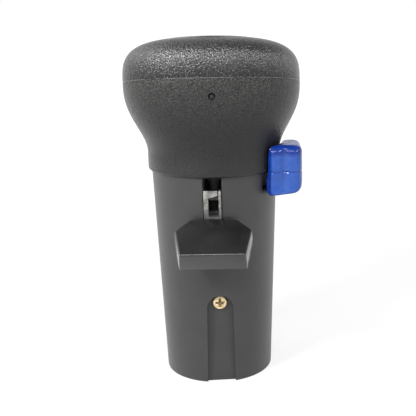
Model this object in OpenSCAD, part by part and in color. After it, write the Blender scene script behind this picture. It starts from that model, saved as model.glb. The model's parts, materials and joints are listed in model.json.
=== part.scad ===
// Gear shift knob with an air range lever at the front and a splitter button at the side.
// Heights are measured up from the skirt's rim. The front, where the range lever is, faces -Y.
// The origin is on the axis at the mouth of the gear lever thread.

/* [Skirt] */
// Outer radius of the skirt at its rim
rim_r = 24.15; // [22.5:0.05:25.5]
// Outer radius of the skirt at the collar
skirt_top_r = 27.6; // [26.5:0.05:28.5]
// Wall thickness of the skirt
skirt_wall = 2.6; // [2:0.1:2.8]
// Height of the collar's lower edge above the rim
collar_h = 93.5; // [90:0.5:100]
// Length of the skirt inside the collar
spigot_len = 4.5; // [3:0.5:6]
// Rounding of the rim's outer edge
rim_round = 0.6; // [0.3:0.1:1.2]

/* [Screw channels] */
// Angle of the front channel round the axis, towards the button side
channel_turn = 4.5; // [0:0.5:9]
// Width of a channel at its arch
channel_top_w = 11.2; // [9.5:0.1:11.6]
// Width of a channel at the rim
channel_rim_w = 12.3; // [11.6:0.1:13.5]
// Distance of the arch's top above the screw's middle
arch_above = 3.8; // [3.6:0.1:4.4]
// Depth of a channel at the rim
channel_depth = 2.6; // [1.8:0.1:2.8]
// Thickness of the skirt behind a channel's floor
channel_floor_t = 2; // [1.6:0.1:2.4]
// Height of the skirt screws above the rim
screw_h = 37.2; // [36:0.1:38]
// Radius of a skirt screw's head
screw_head_r = 3.1; // [2.8:0.05:3.4]
// Radius of a skirt screw's shank
screw_r = 1.75; // [1.4:0.05:2]
// Length of a skirt screw under its head
screw_len = 9.5; // [7:0.5:10]

/* [Grip head] */
// Width of the head from side to side
head_w = 76; // [70:0.5:82]
// Depth of the head from front to rear
head_d = 68; // [64:0.5:76]
// Outer radius of the collar
collar_r = 29.1; // [28.8:0.1:30]
// Rounding of the collar's lower lip
lip_round = 1; // [0.3:0.1:1.2]
// Height of the collar before it flares out
flare_start = 7.7; // [6:0.1:10]
// Height of the widest part above the collar's lower edge
widest_up = 36; // [32:0.5:40]
// Height of the crown above the collar's lower edge
crown_up = 55.1; // [52:0.1:60]
// Squareness of the crown's shoulder
crown_power = 3.4; // [2.4:0.1:4]
// Squareness of the head seen from above
plan_power = 2.6; // [2:0.1:3]
// How late the flare begins, 1 for an even curve
flare_skew = 1.3; // [1:0.05:1.5]
// Slope of the crown down towards the rear
head_tilt = 8.5; // [4:0.5:10]
// Radius of the hollow inside the head
hollow_r = 25.5; // [24.5:0.1:26.5]
// Thickness of the head over its hollow
crown_t = 10.6; // [9:0.1:13]

/* [Pattern plate] */
// Radius of the shift pattern plate
plate_r = 21; // [18:0.5:23]
// Thickness of the plate
plate_t = 1.8; // [1.2:0.1:2.4]
// Depth of the plate's face below the crown's top point
plate_drop = 0.6; // [0.2:0.1:0.9]
// Width of the engraved shift gate lines
gate_w = 1.6; // [1:0.1:2]
// Depth of the engraved shift gate lines
gate_depth = 0.5; // [0.2:0.1:0.8]

/* [Valve body] */
// Height of the body's underside and of the thread's mouth above the rim
mouth_h = 24; // [22:0.5:26]
// Height of the shoulder where the body widens
shoulder_h = 48; // [46.5:0.5:52]
// Height of the body above the collar's lower edge
body_up = 10.5; // [9.5:0.5:12]
// Gap between the body and the skirt
body_gap = 0.6; // [0.4:0.1:1]
// Minor radius of the gear lever thread
thread_r = 5.36; // [4:0.02:6.5]
// Outer radius of the threaded insert
insert_r = 9.4; // [8.5:0.1:9.6]
// Length of the threaded insert
insert_len = 20; // [15:0.5:20.5]
// Distance of each head screw from the middle
head_screw_x = 11.5; // [10:0.5:13]
// Distance of the head screws behind the axis
head_screw_y = 12; // [11:0.5:13]
// Radius of a head screw's shank
head_screw_r = 1.95; // [1.5:0.05:2.1]
// Radius of a head screw's head
head_screw_head_r = 3.6; // [3:0.1:3.9]
// Thickness of the head's boss under its ceiling, down to a screw's seat
head_seat_t = 8; // [5:0.5:10]
// Depth of a head screw in the valve body
head_screw_bite = 8; // [6:0.5:9]

/* [Range lever] */
// Width of the stirrup over its two plates
stirrup_w = 7.4; // [7:0.1:8]
// Thickness of the stirrup's sheet steel
sheet_t = 1.1; // [0.8:0.1:1.3]
// Height of the stirrup's front edge
stirrup_front_h = 12.2; // [10:0.1:12.6]
// Width of the stirrup's folded front leg
front_leg_w = 2; // [1.4:0.1:2.4]
// Distance of the stirrup's top below the collar
stirrup_drop = 5.4; // [5:0.1:7]
// Distance of the pivot below the collar
pivot_drop = 11.5; // [11:0.1:12.5]
// Distance of the pivot in front of the axis
pivot_y = 15.5; // [14.5:0.1:16.5]
// Radius of the pivot pin
pin_r = 1.5; // [1.2:0.05:1.8]
// Reach of the fork behind the pivot
fork_reach = 9.5; // [9:0.1:10]
// Turn of the lever from low to high range
lever_turn = 55; // [40:1:58]
// Length of the paddle's top face
paddle_len = 20; // [16:0.5:24]
// Width of the paddle's rear edge
paddle_rear_w = 19.4; // [14:0.2:22]
// Width of the paddle at its widest
paddle_w = 32.2; // [26:0.2:36]
// Width of the paddle's front edge
paddle_front_w = 27; // [22:0.2:30]
// Distance of the widest part from the rear edge
paddle_wide_at = 6.5; // [4:0.1:9]
// Thickness of the paddle at its front edge
paddle_t = 9.5; // [8:0.1:11]
// Thickness of the paddle at its rear edge
paddle_rear_t = 6.4; // [5.5:0.1:8]
// Spread of the paddle's sides from top to bottom
paddle_draft = 0.5; // [0.2:0.1:1.2]
// Distance of the paddle's middle from the stirrup's middle, towards the button side
paddle_offset = 0.3; // [0:0.1:1]
// Slope of the paddle's top face
paddle_droop = 31.7; // [26:0.1:34]
// Distance of the paddle's rear edge above the foot of the stirrup's front edge
paddle_rise = 0.3; // [0:0.1:1]
// Gap between the paddle's rear face and the stirrup's front edge
paddle_gap = 0.4; // [0.2:0.1:0.8]

/* [Splitter button] */
// Width of the button, outwards
button_w = 15.6; // [13:0.1:18]
// Depth of the button, front to rear
button_d = 18.5; // [16:0.1:20]
// Height of the button
button_hgt = 21.9; // [19:0.1:24]
// Distance of the button's inner edge from the axis
button_x = 22.7; // [21.5:0.1:24]
// Distance of the button's front face in front of the axis
button_front = 19; // [18.5:0.1:20]
// Distance of the button's top above the collar's lower edge
button_up = 11.5; // [9:0.1:12]
// Rounding of the button's edges
button_round = 2.6; // [1:0.1:3.2]
// Rounding of the button's lower outer corner
button_low_round = 4.4; // [2:0.1:6]
// Rise of the button's underside towards its outer edge
button_rise = 1.2; // [0:0.1:3]
// Travel of the button
button_travel = 8; // [5:0.5:8]
// Depth of the stem, front to rear
stem_d = 7; // [5:0.1:7.4]
// Height of the stem
stem_h = 6.4; // [5.6:0.1:6.8]
// Distance of the stem's middle behind the button's front face
stem_back = 14; // [12.5:0.1:14.4]
// Distance of the stem's top below the collar
stem_drop = 1.3; // [1:0.1:2]

/* [Valves] */
// Radius of the range spool
range_r = 3.6; // [3.4:0.05:3.8]
// Radius of the splitter spool
split_r = 3.2; // [2.9:0.05:3.4]
// Distance of the splitter spool from the middle
split_x = 12; // [11.5:0.1:12.5]
// Radius of a spool seal's section
seal_r = 0.65; // [0.5:0.05:0.75]
// Radius of a detent ball
ball_r = 1.5; // [1.2:0.05:1.7]
// Depth of a detent groove
groove_depth = 0.5; // [0.3:0.05:0.6]
// Radius of a detent spring's wire
wire_r = 0.22; // [0.15:0.01:0.25]
// Turns of a detent spring
spring_turns = 5; // [4:1:6]

/* [Air ports] */
// Radius of a tube bore, for a 5/32 inch tube
tube_r = 2.05; // [1.6:0.05:2.2]
// Length of a tube bore
tube_len = 10; // [8:0.5:12]
// Outer radius of a fitting
fitting_r = 3.6; // [3.3:0.1:3.8]
// Length of a fitting under the body
fitting_len = 9; // [7:0.5:10]
// Distance of each port from the middle, sideways
port_x = 12.2; // [11.8:0.1:12.4]
// Distance of each port from the middle, front to rear
port_y = 8; // [7.6:0.1:8.4]
// Radius of an air passage
passage_r = 1.2; // [0.8:0.1:1.3]

/* [Fits] */
// Radial clearance of a part that turns or slides in a bore
run_gap = 0.05; // [0.02:0.01:0.08]
// Radial clearance of a fixed part in its hole
seat_gap = 0.03; // [0.01:0.01:0.05]
// Gap beside parts that move past each other
move_gap = 0.3; // [0.25:0.05:0.4]
// Gap between the button and the covers behind it
button_gap = 0.5; // [0.4:0.05:0.8]

/* [Hidden] */
$fn = 64;
eps = 0.01;
over = 1;

// Skirt and channels
skirt_top_h = collar_h + spigot_len;
floor_y = rim_r - channel_depth;
seat_y = floor_y - channel_floor_t;
arch_r = channel_top_w / 2;
arch_h = screw_h + arch_above - arch_r;
channel_wall = 2;
screw_head_t = 2.1;
reach = 2 * collar_r;

// Body
lower_r = seat_y - body_gap;
body_r = skirt_r(shoulder_h) - skirt_wall - body_gap;
body_top = collar_h + body_up;
insert_top = mouth_h + insert_len;
boss_w = channel_top_w;
boss_h = 2 * (shoulder_h - screw_h) - 2 * channel_wall;

// Head
flare_h = collar_h + flare_start;
widest_h = collar_h + widest_up;
crown_h = collar_h + crown_up;
ceiling_h = crown_h - crown_t;
head_sides = 48;
flare_rings = 12;
crown_rings = 10;
crown_last = 84;
head_boss_r = head_screw_head_r + 1.2;
head_seat_h = ceiling_h - head_seat_t;
head_screw_len = head_seat_h - body_top + head_screw_bite;
head_screw_head_t = 2.6;

// Range lever
pivot_h = collar_h - pivot_drop;
plate_in = stirrup_w / 2 - sheet_t;
stirrup_top = collar_h - stirrup_drop;
stirrup_foot = stirrup_top - stirrup_front_h;
stirrup_front_y = skirt_r(stirrup_top) + move_gap;
eye_r = pin_r + 2.1;
fork_tip_r = 1.7;
fork_bar = 1.6;
fork_lift = lever_turn / 2;
fork_h = pivot_h + fork_reach * sin(fork_lift);
fork_y = pivot_y - fork_reach * cos(fork_lift);
paddle_rear_y = stirrup_front_y + paddle_gap;
paddle_rear_h = stirrup_foot + paddle_rise;
tongue_len = paddle_len * 0.4;
tongue_down = paddle_rear_t * 0.25;
tongue_t = paddle_rear_t * 0.45;
slot_w = stirrup_w + 2 * move_gap;
slot_foot = paddle_rear_h - tongue_down - tongue_t - 3;
pocket_top = pivot_h + norm([stirrup_front_y - pivot_y, stirrup_top - pivot_h]) + over;

// Range valve
spool_y = (fork_y + pivot_y - fork_reach) / 2;
spool_travel = 2 * fork_reach * sin(fork_lift);
neck_r = plate_in - move_gap;
neck_half = fork_tip_r + 0.5;
flange_t = 2;
deep_pocket_y = pivot_y - fork_reach - fork_tip_r - 0.5;
deep_pocket_low = 2 * pivot_h - fork_h - fork_tip_r - 0.6;
deep_pocket_high = fork_h + neck_half + flange_t + 0.6;
range_bore_r = range_r + run_gap;
range_bore_foot = insert_top + 2.5;
range_spool_foot = range_bore_foot + spool_travel + 0.6;
range_detent_h = range_spool_foot + 2.2;
range_seal_h = [deep_pocket_low - 1.8, deep_pocket_low - 4];
plug_t = 4.5;

// Splitter
stem_top = collar_h - stem_drop;
split_h = stem_top - stem_h / 2;
stem_y = button_front - stem_back;
stem_rear_y = stem_y - stem_d / 2;
split_pocket_front = stem_y + stem_d / 2 + button_travel + 1;
split_pocket_rear = stem_rear_y - 0.9;
split_pocket_in = split_x - split_r - 0.4;
split_bore_r = split_r + run_gap;
fork_plate = 1.8;
split_neck_r = 1.7;
split_neck_half = fork_plate / 2 + 0.2;
split_flange = 1.4;
split_bore_end = sqrt(pow(body_r, 2) - pow(split_x + split_bore_r, 2));
split_plug_t = 1.8;
split_end = split_bore_end - split_plug_t - 0.4;
split_detent_y = 3;
split_seal_y = [split_end - 1.3, split_end - 5.4];
button_top = collar_h + button_up;
button_foot = button_top - button_hgt;
stem_bite = button_w * 0.4;

// Detents
hole_r = ball_r + 0.1;
detent_plug_r = hole_r + 0.4;
ball_lift = 0.06;
spring_r = ball_r - wire_r - 0.05;
spring_len = 6;
spring_sides = 6;
spring_rings = 8;
detent_plug_len = 4;
split_spring_len = body_top - detent_plug_len - split_h - split_r - ball_lift - 2 * ball_r;

// Ports
shank_r = 2.5;
shank_len = 7;
collet_r = tube_r + 0.8;
collet_in = 2;
collet_out = 1.8;
port_seal_r = 0.6;
range_port_h = [range_seal_h[1] - 1, range_seal_h[1] - 4];
split_port_y = port_y - 1.6;

function skirt_r(h) = rim_r + (skirt_top_r - rim_r) * h / collar_h;
function power(v, e) = sign(v) * pow(abs(v), e);
function arc(c, r, from, to, steps) = [for (i = [0:steps]) let (a = from + (to - from) * i / steps)
    c + r * [cos(a), sin(a)]];

// Everything is drawn up from the rim and lowered until the thread's mouth is at the origin.
module from_rim() {
    translate([0, 0, -mouth_h]) children();
}

// Turns a flat shape in X and height so that it stands up, and extrudes it from y_near towards the front.
module towards_front(y_near, length) {
    rotate([90, 0, 0]) translate([0, 0, y_near]) linear_extrude(length) children();
}

// Turns a flat shape in front distance and height so that it stands up, and extrudes it across.
module across(x_low, x_high) {
    translate([x_low, 0, 0]) rotate([90, 0, -90]) mirror([0, 0, 1])
        linear_extrude(x_high - x_low) children();
}

// A cylinder along X, from x_low to x_high, at a front distance and a height.
module cross_rod(r, x_low, x_high, y, h) {
    translate([x_low, -y, h]) rotate([0, 90, 0]) cylinder(r = r, h = x_high - x_low);
}

// A cylinder along Y, from y_low to y_high measured towards the rear.
module long_rod(r, y_low, y_high, x, h) {
    translate([x, y_low, h]) rotate([-90, 0, 0]) cylinder(r = r, h = y_high - y_low);
}

// A ring of round section, lying flat.
module ring(middle_r, section_r) {
    rotate_extrude() translate([middle_r, 0]) circle(section_r, $fn = 24);
}

// Skirt
// The outside runs from the rounded rim up to the spigot, and inside is a line from the top to the rim.
module skirt_turned(inside) {
    outside = concat(arc([rim_r - rim_round, rim_round], rim_round, -90, 0, 5),
                     [[skirt_r(skirt_top_h), skirt_top_h]]);
    rotate_extrude() polygon(concat(outside, inside));
}

module skirt_solid() {
    skirt_turned([[0, skirt_top_h], [0, 0]]);
}

module skirt_shell() {
    skirt_turned([[skirt_r(skirt_top_h) - skirt_wall, skirt_top_h], [rim_r - skirt_wall, 0]]);
}

module channel_shape(wall) {
    polygon([[-channel_rim_w / 2 - wall, -over], [channel_rim_w / 2 + wall, -over],
             [arch_r + wall, arch_h], [-arch_r - wall, arch_h]]);
    translate([0, arch_h]) circle(arch_r + wall);
}

module channel_housing() {
    intersection() {
        towards_front(seat_y, reach) channel_shape(channel_wall);
        skirt_solid();
    }
}

module both_channels() {
    for (side = [0, 180]) rotate([0, 0, channel_turn + side]) children();
}

module skirt() {
    color("#3b3b3d") from_rim() difference() {
        union() {
            skirt_shell();
            both_channels() channel_housing();
        }
        both_channels() towards_front(floor_y, reach) channel_shape(0);
        both_channels() long_rod(screw_r + 2 * seat_gap, -floor_y - over, -seat_y + over, 0, screw_h);
        translate([-slot_w / 2, -reach, slot_foot]) cube([slot_w, reach - pivot_y, skirt_top_h]);
        translate([button_x - 2 * skirt_wall, -split_pocket_front, split_h - stem_h / 2 - move_gap])
            cube([reach, split_pocket_front - split_pocket_rear, skirt_top_h]);
    }
}

module cross_recess(width, depth) {
    arm = width * 0.24;
    for (turn = [0, 90]) rotate([0, 0, turn]) translate([-width / 2, -arm / 2, -eps])
        cube([width, arm, depth + eps]);
}

// A pan screw lying along Y, its seat at y_seat in front and its tip towards the axis.
module pan_screw(r, head_r, head_t, length) {
    difference() {
        union() {
            rotate_extrude() polygon(concat([[0, 0], [head_r, 0]],
                arc([head_r - head_t * 0.7, head_t * 0.3], head_t * 0.7, 0, 90, 6), [[0, head_t]]));
            translate([0, 0, -length]) cylinder(r = r, h = length + eps);
        }
        translate([0, 0, head_t]) mirror([0, 0, 1]) cross_recess(head_r * 1.1, head_t * 0.6);
    }
}

module skirt_screws() {
    color("#c9a84e") from_rim() both_channels()
        translate([0, -floor_y, screw_h]) rotate([90, 0, 0])
            pan_screw(screw_r, screw_head_r, screw_head_t, screw_len);
}

// Grip head: sections from the lip up to the crown, each [height, half width, half depth, blend].
// Blend is 0 where the section is round and level, and 1 where it is squared and sloped.
function flare(s) = (1 + cos(180 * pow(s, flare_skew))) / 2;
function flare_section(h) = let (k = flare(min(1, (widest_h - h) / (widest_up - flare_start))))
    [h, collar_r + (head_w / 2 - collar_r) * k, collar_r + (head_d / 2 - collar_r) * k, k];
function lip_section(a) = [collar_h + lip_round * (1 - sin(a)), collar_r - lip_round * (1 - cos(a)),
                           collar_r - lip_round * (1 - cos(a)), 0];
function crown_section(a) = let (q = pow(cos(a), 2 / crown_power))
    [widest_h + (crown_h - widest_h) * pow(sin(a), 2 / crown_power), head_w / 2 * q, head_d / 2 * q, 1];
head_sections = concat(
    [for (a = [90, 45, 0]) lip_section(a)],
    [for (i = [0:flare_rings]) flare_section(flare_h + (widest_h - flare_h) * i / flare_rings)],
    [for (i = [1:crown_rings]) crown_section(crown_last * i / crown_rings)]);

function section_point(s, a) = let (e = 2 / (2 + (plan_power - 2) * s[3]), y = s[2] * power(sin(a), e))
    [s[1] * power(cos(a), e), y, s[0] - y * tan(head_tilt * s[3])];

module head_form() {
    n = head_sides;
    last = len(head_sections) - 1;
    points = [for (s = head_sections) for (i = [0:n - 1]) section_point(s, 360 * i / n)];
    walls = [for (k = [0:last - 1]) for (i = [0:n - 1]) let (a = k * n + i, b = k * n + (i + 1) % n)
        each [[a, a + n, b], [b, a + n, b + n]]];
    foot = [[for (i = [0:n - 1]) i]];
    cap = [[for (i = [n - 1:-1:0]) last * n + i]];
    polyhedron(points = points, faces = concat(walls, foot, cap), convexity = 6);
}

// The crown's own frame: its middle is on the axis, and it slopes down to the rear.
module on_crown() {
    translate([0, 0, crown_h - plate_drop]) rotate([-head_tilt, 0, 0]) children();
}

module both_head_screws() {
    for (side = [-1, 1]) translate([side * head_screw_x, head_screw_y, 0]) children();
}

module grip_head() {
    color("#2b2b2c") from_rim() difference() {
        union() {
            difference() {
                head_form();
                translate([0, 0, collar_h - over]) cylinder(r = hollow_r, h = ceiling_h - collar_h + over);
            }
            both_head_screws() translate([0, 0, body_top])
                cylinder(r = head_boss_r, h = ceiling_h - body_top + over);
        }
        translate([0, 0, collar_h - over])
            cylinder(r = skirt_r(skirt_top_h) + move_gap, h = spigot_len + 2 * over);
        both_head_screws() translate([0, 0, collar_h]) cylinder(r = head_screw_r + 0.25, h = reach);
        both_head_screws() translate([0, 0, head_seat_h]) cylinder(r = head_screw_head_r + 0.4, h = reach);
        on_crown() translate([0, 0, -plate_t]) cylinder(r = plate_r + seat_gap, h = reach);
    }
}

module pattern_plate() {
    gate_gap = plate_r * 0.52;
    gate_half = plate_r * 0.5;
    color("#8d9093") from_rim() on_crown() difference() {
        translate([0, 0, -plate_t]) cylinder(r = plate_r, h = plate_t);
        for (lane = [-1, 0, 1]) translate([lane * gate_gap - gate_w / 2, -gate_half, -gate_depth])
            cube([gate_w, 2 * gate_half, gate_depth + eps]);
        translate([-gate_gap, -gate_w / 2, -gate_depth]) cube([2 * gate_gap, gate_w, gate_depth + eps]);
    }
}

module head_screws() {
    color("#a9a9a6") from_rim() both_head_screws() translate([0, 0, head_seat_h])
        pan_screw(head_screw_r, head_screw_head_r, head_screw_head_t, head_screw_len);
}

// Valve body
module lever_pocket() {
    translate([-slot_w / 2, -reach, slot_foot])
        cube([slot_w, reach - pivot_y + eye_r + over, pocket_top - slot_foot]);
    translate([-slot_w / 2, -pivot_y, deep_pocket_low])
        cube([slot_w, pivot_y - deep_pocket_y, deep_pocket_high - deep_pocket_low]);
}

module splitter_pocket() {
    translate([split_pocket_in, -split_pocket_front, split_h - stem_h / 2 - move_gap])
        cube([reach, split_pocket_front - split_pocket_rear, stem_h + 2 * move_gap]);
}

module every_port() {
    for (x = [-1, 1]) for (y = [-1, 1]) translate([x * port_x, y * port_y, mouth_h]) children();
}

module air_passages() {
    rise = [range_port_h[0], range_port_h[1], split_h + passage_r, split_h];
    spots = [[-1, -1], [1, -1], [-1, 1], [1, 1]];
    for (i = [0:3]) translate([spots[i][0] * port_x, spots[i][1] * port_y, mouth_h + shank_len - over])
        cylinder(r = passage_r, h = rise[i] - mouth_h - shank_len + over);
    cross_rod(passage_r, -body_r, 0, port_y, range_port_h[0]);
    cross_rod(passage_r, 0, body_r, port_y, range_port_h[1]);
    cross_rod(passage_r, -body_r, split_x, -split_port_y, split_h);
}

module valve_body() {
    color("#303034") from_rim() difference() {
        union() {
            translate([0, 0, mouth_h]) cylinder(r = lower_r, h = shoulder_h - mouth_h + eps);
            translate([0, 0, shoulder_h]) cylinder(r = body_r, h = body_top - shoulder_h);
            both_channels() translate([-boss_w / 2, -seat_y, screw_h - boss_h / 2])
                cube([boss_w, lower_r, boss_h]);
        }
        translate([0, 0, mouth_h - over]) cylinder(r = insert_r + seat_gap, h = insert_len + over);
        both_channels()
            long_rod(screw_r + seat_gap, -seat_y - over, -floor_y + screw_len + over, 0, screw_h);
        both_head_screws() translate([0, 0, head_seat_h - head_screw_len - over])
            cylinder(r = head_screw_r + seat_gap, h = head_screw_len + over);
        lever_pocket();
        translate([0, -spool_y, range_bore_foot]) cylinder(r = range_bore_r, h = body_top);
        cross_rod(pin_r + seat_gap, -body_r - over, slot_w + over, pivot_y, pivot_h);
        range_detent_at() detent_hole(spring_len);
        splitter_pocket();
        long_rod(split_bore_r, -split_pocket_rear - over, body_r, split_x, split_h);
        splitter_detent_at() detent_hole(split_spring_len);
        every_port() translate([0, 0, -over]) cylinder(r = shank_r + seat_gap, h = shank_len + over);
        air_passages();
    }
}

module lever_insert() {
    groove = 0.5;
    color("#b8943f") from_rim() translate([0, 0, mouth_h]) difference() {
        cylinder(r = insert_r, h = insert_len);
        translate([0, 0, -over]) cylinder(r = thread_r, h = insert_len + 2 * over);
        for (step = [1, 2]) translate([0, 0, insert_len * step / 3]) difference() {
            cylinder(r = insert_r + over, h = over);
            cylinder(r = insert_r - groove, h = over);
        }
    }
}

// Range lever: the stirrup's plates seen from the side, as front distance and height.
module plate_shape() {
    front = stirrup_front_y;
    translate([pivot_y, pivot_h]) circle(eye_r);
    polygon([[pivot_y, pivot_h + eye_r], [front - eye_r, stirrup_top], [front, stirrup_top],
             [front, stirrup_foot], [front - eye_r, stirrup_foot], [pivot_y, pivot_h - eye_r]]);
    translate([pivot_y, pivot_h]) rotate(-fork_lift) translate([-fork_reach, -fork_bar / 2])
        square([fork_reach, fork_bar]);
    translate([fork_y, fork_h]) circle(fork_tip_r);
    polygon([tongue_point(-eye_r, tongue_down), tongue_point(tongue_len, tongue_down),
             tongue_point(tongue_len, tongue_down + tongue_t),
             tongue_point(-eye_r, tongue_down + tongue_t)]);
    polygon([[front - eye_r - over, stirrup_foot + over], [front, stirrup_foot + over],
             tongue_point(paddle_gap, tongue_down + over), tongue_point(-eye_r, tongue_down + tongue_t)]);
}

// A point beside the paddle's top face, as front distance and height.
function tongue_point(along, down) = [paddle_rear_y + along * cos(paddle_droop) - down * sin(paddle_droop),
                                      paddle_rear_h - along * sin(paddle_droop) - down * cos(paddle_droop)];

module stirrup_plates() {
    for (x_low = [-stirrup_w / 2, plate_in]) difference() {
        across(x_low, x_low + sheet_t) plate_shape();
        cross_rod(pin_r + run_gap, -stirrup_w, stirrup_w, pivot_y, pivot_h);
    }
}

// One plate is folded round the front as a leg and a top bar, which stop short of the other plate.
// The shelf at the foot joins both plates.
module range_stirrup() {
    tab_low = stirrup_top - 3.2;
    tab_slope = 1;
    tab_end = plate_in - 0.4;
    color("#c4c3be") from_rim() union() {
        stirrup_plates();
        towards_front(stirrup_front_y - sheet_t, sheet_t)
            polygon([[-plate_in - eps, stirrup_foot], [front_leg_w - stirrup_w / 2, stirrup_foot],
                     [front_leg_w - stirrup_w / 2, tab_low], [tab_end, tab_low + tab_slope],
                     [tab_end, stirrup_top], [-plate_in - eps, stirrup_top]]);
        translate([-plate_in - eps, -stirrup_front_y, stirrup_foot])
            cube([2 * plate_in + 2 * eps, eye_r + sheet_t, sheet_t]);
    }
}

// Half widths of the paddle from rear to front, on its top face and on its underside.
module paddle_block() {
    along = [0, paddle_wide_at, paddle_len];
    half = [paddle_rear_w / 2, paddle_w / 2, paddle_front_w / 2];
    deep = [for (a = along) paddle_rear_t + (paddle_t - paddle_rear_t) * a / paddle_len];
    top = concat([for (i = [0:2]) [half[i], -along[i], 0]], [for (i = [2:-1:0]) [-half[i], -along[i], 0]]);
    foot = concat([for (i = [0:2]) [half[i] + paddle_draft, -along[i], -deep[i]]],
                  [for (i = [2:-1:0]) [-half[i] - paddle_draft, -along[i], -deep[i]]]);
    walls = [for (i = [0:5]) let (j = (i + 1) % 6) each [[i, i + 6, j], [j, i + 6, j + 6]]];
    faces = concat([[0, 1, 2, 3, 4, 5], [11, 10, 9, 8, 7, 6]], walls);
    polyhedron(points = concat(top, foot), faces = faces);
}

module range_paddle() {
    color("#1f2021") from_rim() difference() {
        translate([paddle_offset, -paddle_rear_y, paddle_rear_h]) rotate([paddle_droop, 0, 0])
            paddle_block();
        translate([-reach / 2, -paddle_rear_y, pivot_h - reach]) cube([reach, reach, reach]);
        stirrup_plates();
    }
}

module range_pivot_pin() {
    color("#4d4d4d") from_rim() cross_rod(pin_r, -slot_w, slot_w, pivot_y, pivot_h);
}

module detent_groove(r, section_r) {
    ring(r + section_r - groove_depth, section_r);
}

module range_spool() {
    foot = range_spool_foot;
    color("#a8834a") from_rim() translate([0, -spool_y, 0]) difference() {
        union() {
            translate([0, 0, foot]) cylinder(r = range_r, h = fork_h - neck_half - foot);
            translate([0, 0, foot]) cylinder(r = neck_r, h = fork_h - foot + neck_half + eps);
            translate([0, 0, fork_h + neck_half]) cylinder(r = range_r, h = flange_t);
        }
        for (h = range_seal_h) translate([0, 0, h - seal_r - seat_gap]) seal_groove(range_r);
        for (h = [0, spool_travel]) translate([0, 0, range_detent_h + h]) detent_groove(range_r, ball_r);
    }
}

module seal_groove(r) {
    difference() {
        cylinder(r = r + over, h = 2 * (seal_r + seat_gap));
        cylinder(r = r + run_gap - 2 * seal_r - 2 * seat_gap, h = 2 * (seal_r + seat_gap));
    }
}

module spool_seal(r) {
    ring(r + run_gap - seal_r - seat_gap, seal_r);
}

module range_spool_seals() {
    color("#151515") from_rim() translate([0, -spool_y, 0])
        for (h = range_seal_h) translate([0, 0, h]) spool_seal(range_r);
}

module range_bore_plug() {
    color("#8f8f8c") from_rim() translate([0, -spool_y, body_top - plug_t]) difference() {
        cylinder(r = range_bore_r - seat_gap, h = plug_t);
        translate([-range_r, -0.5, plug_t - over]) cube([2 * range_r, 1, 2 * over]);
    }
}

// Detents lie along their own +Z, from the spool's surface outwards.
module range_detent_at() {
    translate([0, -spool_y + range_r, range_detent_h]) rotate([-90, 0, 0]) children();
}

module splitter_detent_at() {
    translate([split_x, split_detent_y, split_h + split_r]) children();
}

module detent_hole(spring) {
    plug_from = ball_lift + 2 * ball_r + spring;
    translate([0, 0, -move_gap]) cylinder(r = hole_r, h = plug_from + move_gap + eps);
    translate([0, 0, plug_from]) cylinder(r = detent_plug_r + seat_gap, h = body_r);
}

module detent_ball() {
    translate([0, 0, ball_lift + ball_r]) sphere(ball_r);
}

// A coil spring as one tube, from the ball outwards.
module detent_spring(length) {
    pitch = (length - 2 * wire_r) / spring_turns;
    count = spring_turns * spring_rings;
    n = spring_sides;
    start = ball_lift + 2 * ball_r + wire_r;
    points = [for (k = [0:count]) let (a = 360 * k / spring_rings) for (i = [0:n - 1])
        let (b = 360 * i / n, r = spring_r + wire_r * cos(b))
        [r * cos(a), r * sin(a), start + pitch * k / spring_rings + wire_r * sin(b)]];
    walls = [for (k = [0:count - 1]) for (i = [0:n - 1]) let (a = k * n + i, b = k * n + (i + 1) % n)
        each [[a, b, a + n], [b, b + n, a + n]]];
    caps = [[for (i = [n - 1:-1:0]) i], [for (i = [0:n - 1]) count * n + i]];
    echo(spring_gap = pitch - 2 * wire_r);
    polyhedron(points = points, faces = concat(walls, caps), convexity = 8);
}

module detent_plug(length) {
    translate([0, 0, ball_lift + 2 * ball_r + length]) difference() {
        cylinder(r = detent_plug_r, h = detent_plug_len);
        translate([0, 0, detent_plug_len - over]) cylinder(r = detent_plug_r * 0.5, h = 2 * over, $fn = 6);
    }
}

module range_detent_ball() {
    color("#c8c8c8") from_rim() range_detent_at() detent_ball();
}

module range_detent_spring() {
    color("#9a9a98") from_rim() range_detent_at() detent_spring(spring_len);
}

module range_detent_plug() {
    color("#7d7d7b") from_rim() range_detent_at() detent_plug(spring_len);
}

// Splitter
// The way that the covers behind the button take up as it slides: round at the front, straight behind.
module sliding_way(r1, r2, h_low, h_high) {
    translate([0, 0, h_low]) cylinder(r1 = r1, r2 = r2, h = h_high - h_low);
    translate([0, 0, h_low]) rotate([90, 0, 180]) linear_extrude(reach)
        polygon([[-r1, 0], [r1, 0], [r2, h_high - h_low], [-r2, h_high - h_low]]);
}

module button_outline() {
    x2 = button_x + button_w;
    r = button_round;
    low_r = button_low_round;
    polygon(concat(arc([x2 - low_r, button_foot + button_rise + low_r], low_r, -82, 0, 6),
                   arc([x2 - r, button_top - r], r, 0, 90, 5),
                   arc([button_x + r, button_top - r], r, 90, 180, 5),
                   arc([button_x + r, button_foot + r], r, 180, 278, 5)));
}

module button_plan() {
    x2 = button_x + button_w;
    rear = button_front - button_d;
    r = button_round;
    inner_r = r * 0.6;
    polygon(concat(arc([x2 - r, -button_front + r], r, -90, 0, 5), arc([x2 - r, -rear - r], r, 0, 90, 5),
                   [[button_x, -rear]],
                   arc([button_x + inner_r, -button_front + inner_r], inner_r, 180, 270, 5)));
}

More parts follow.
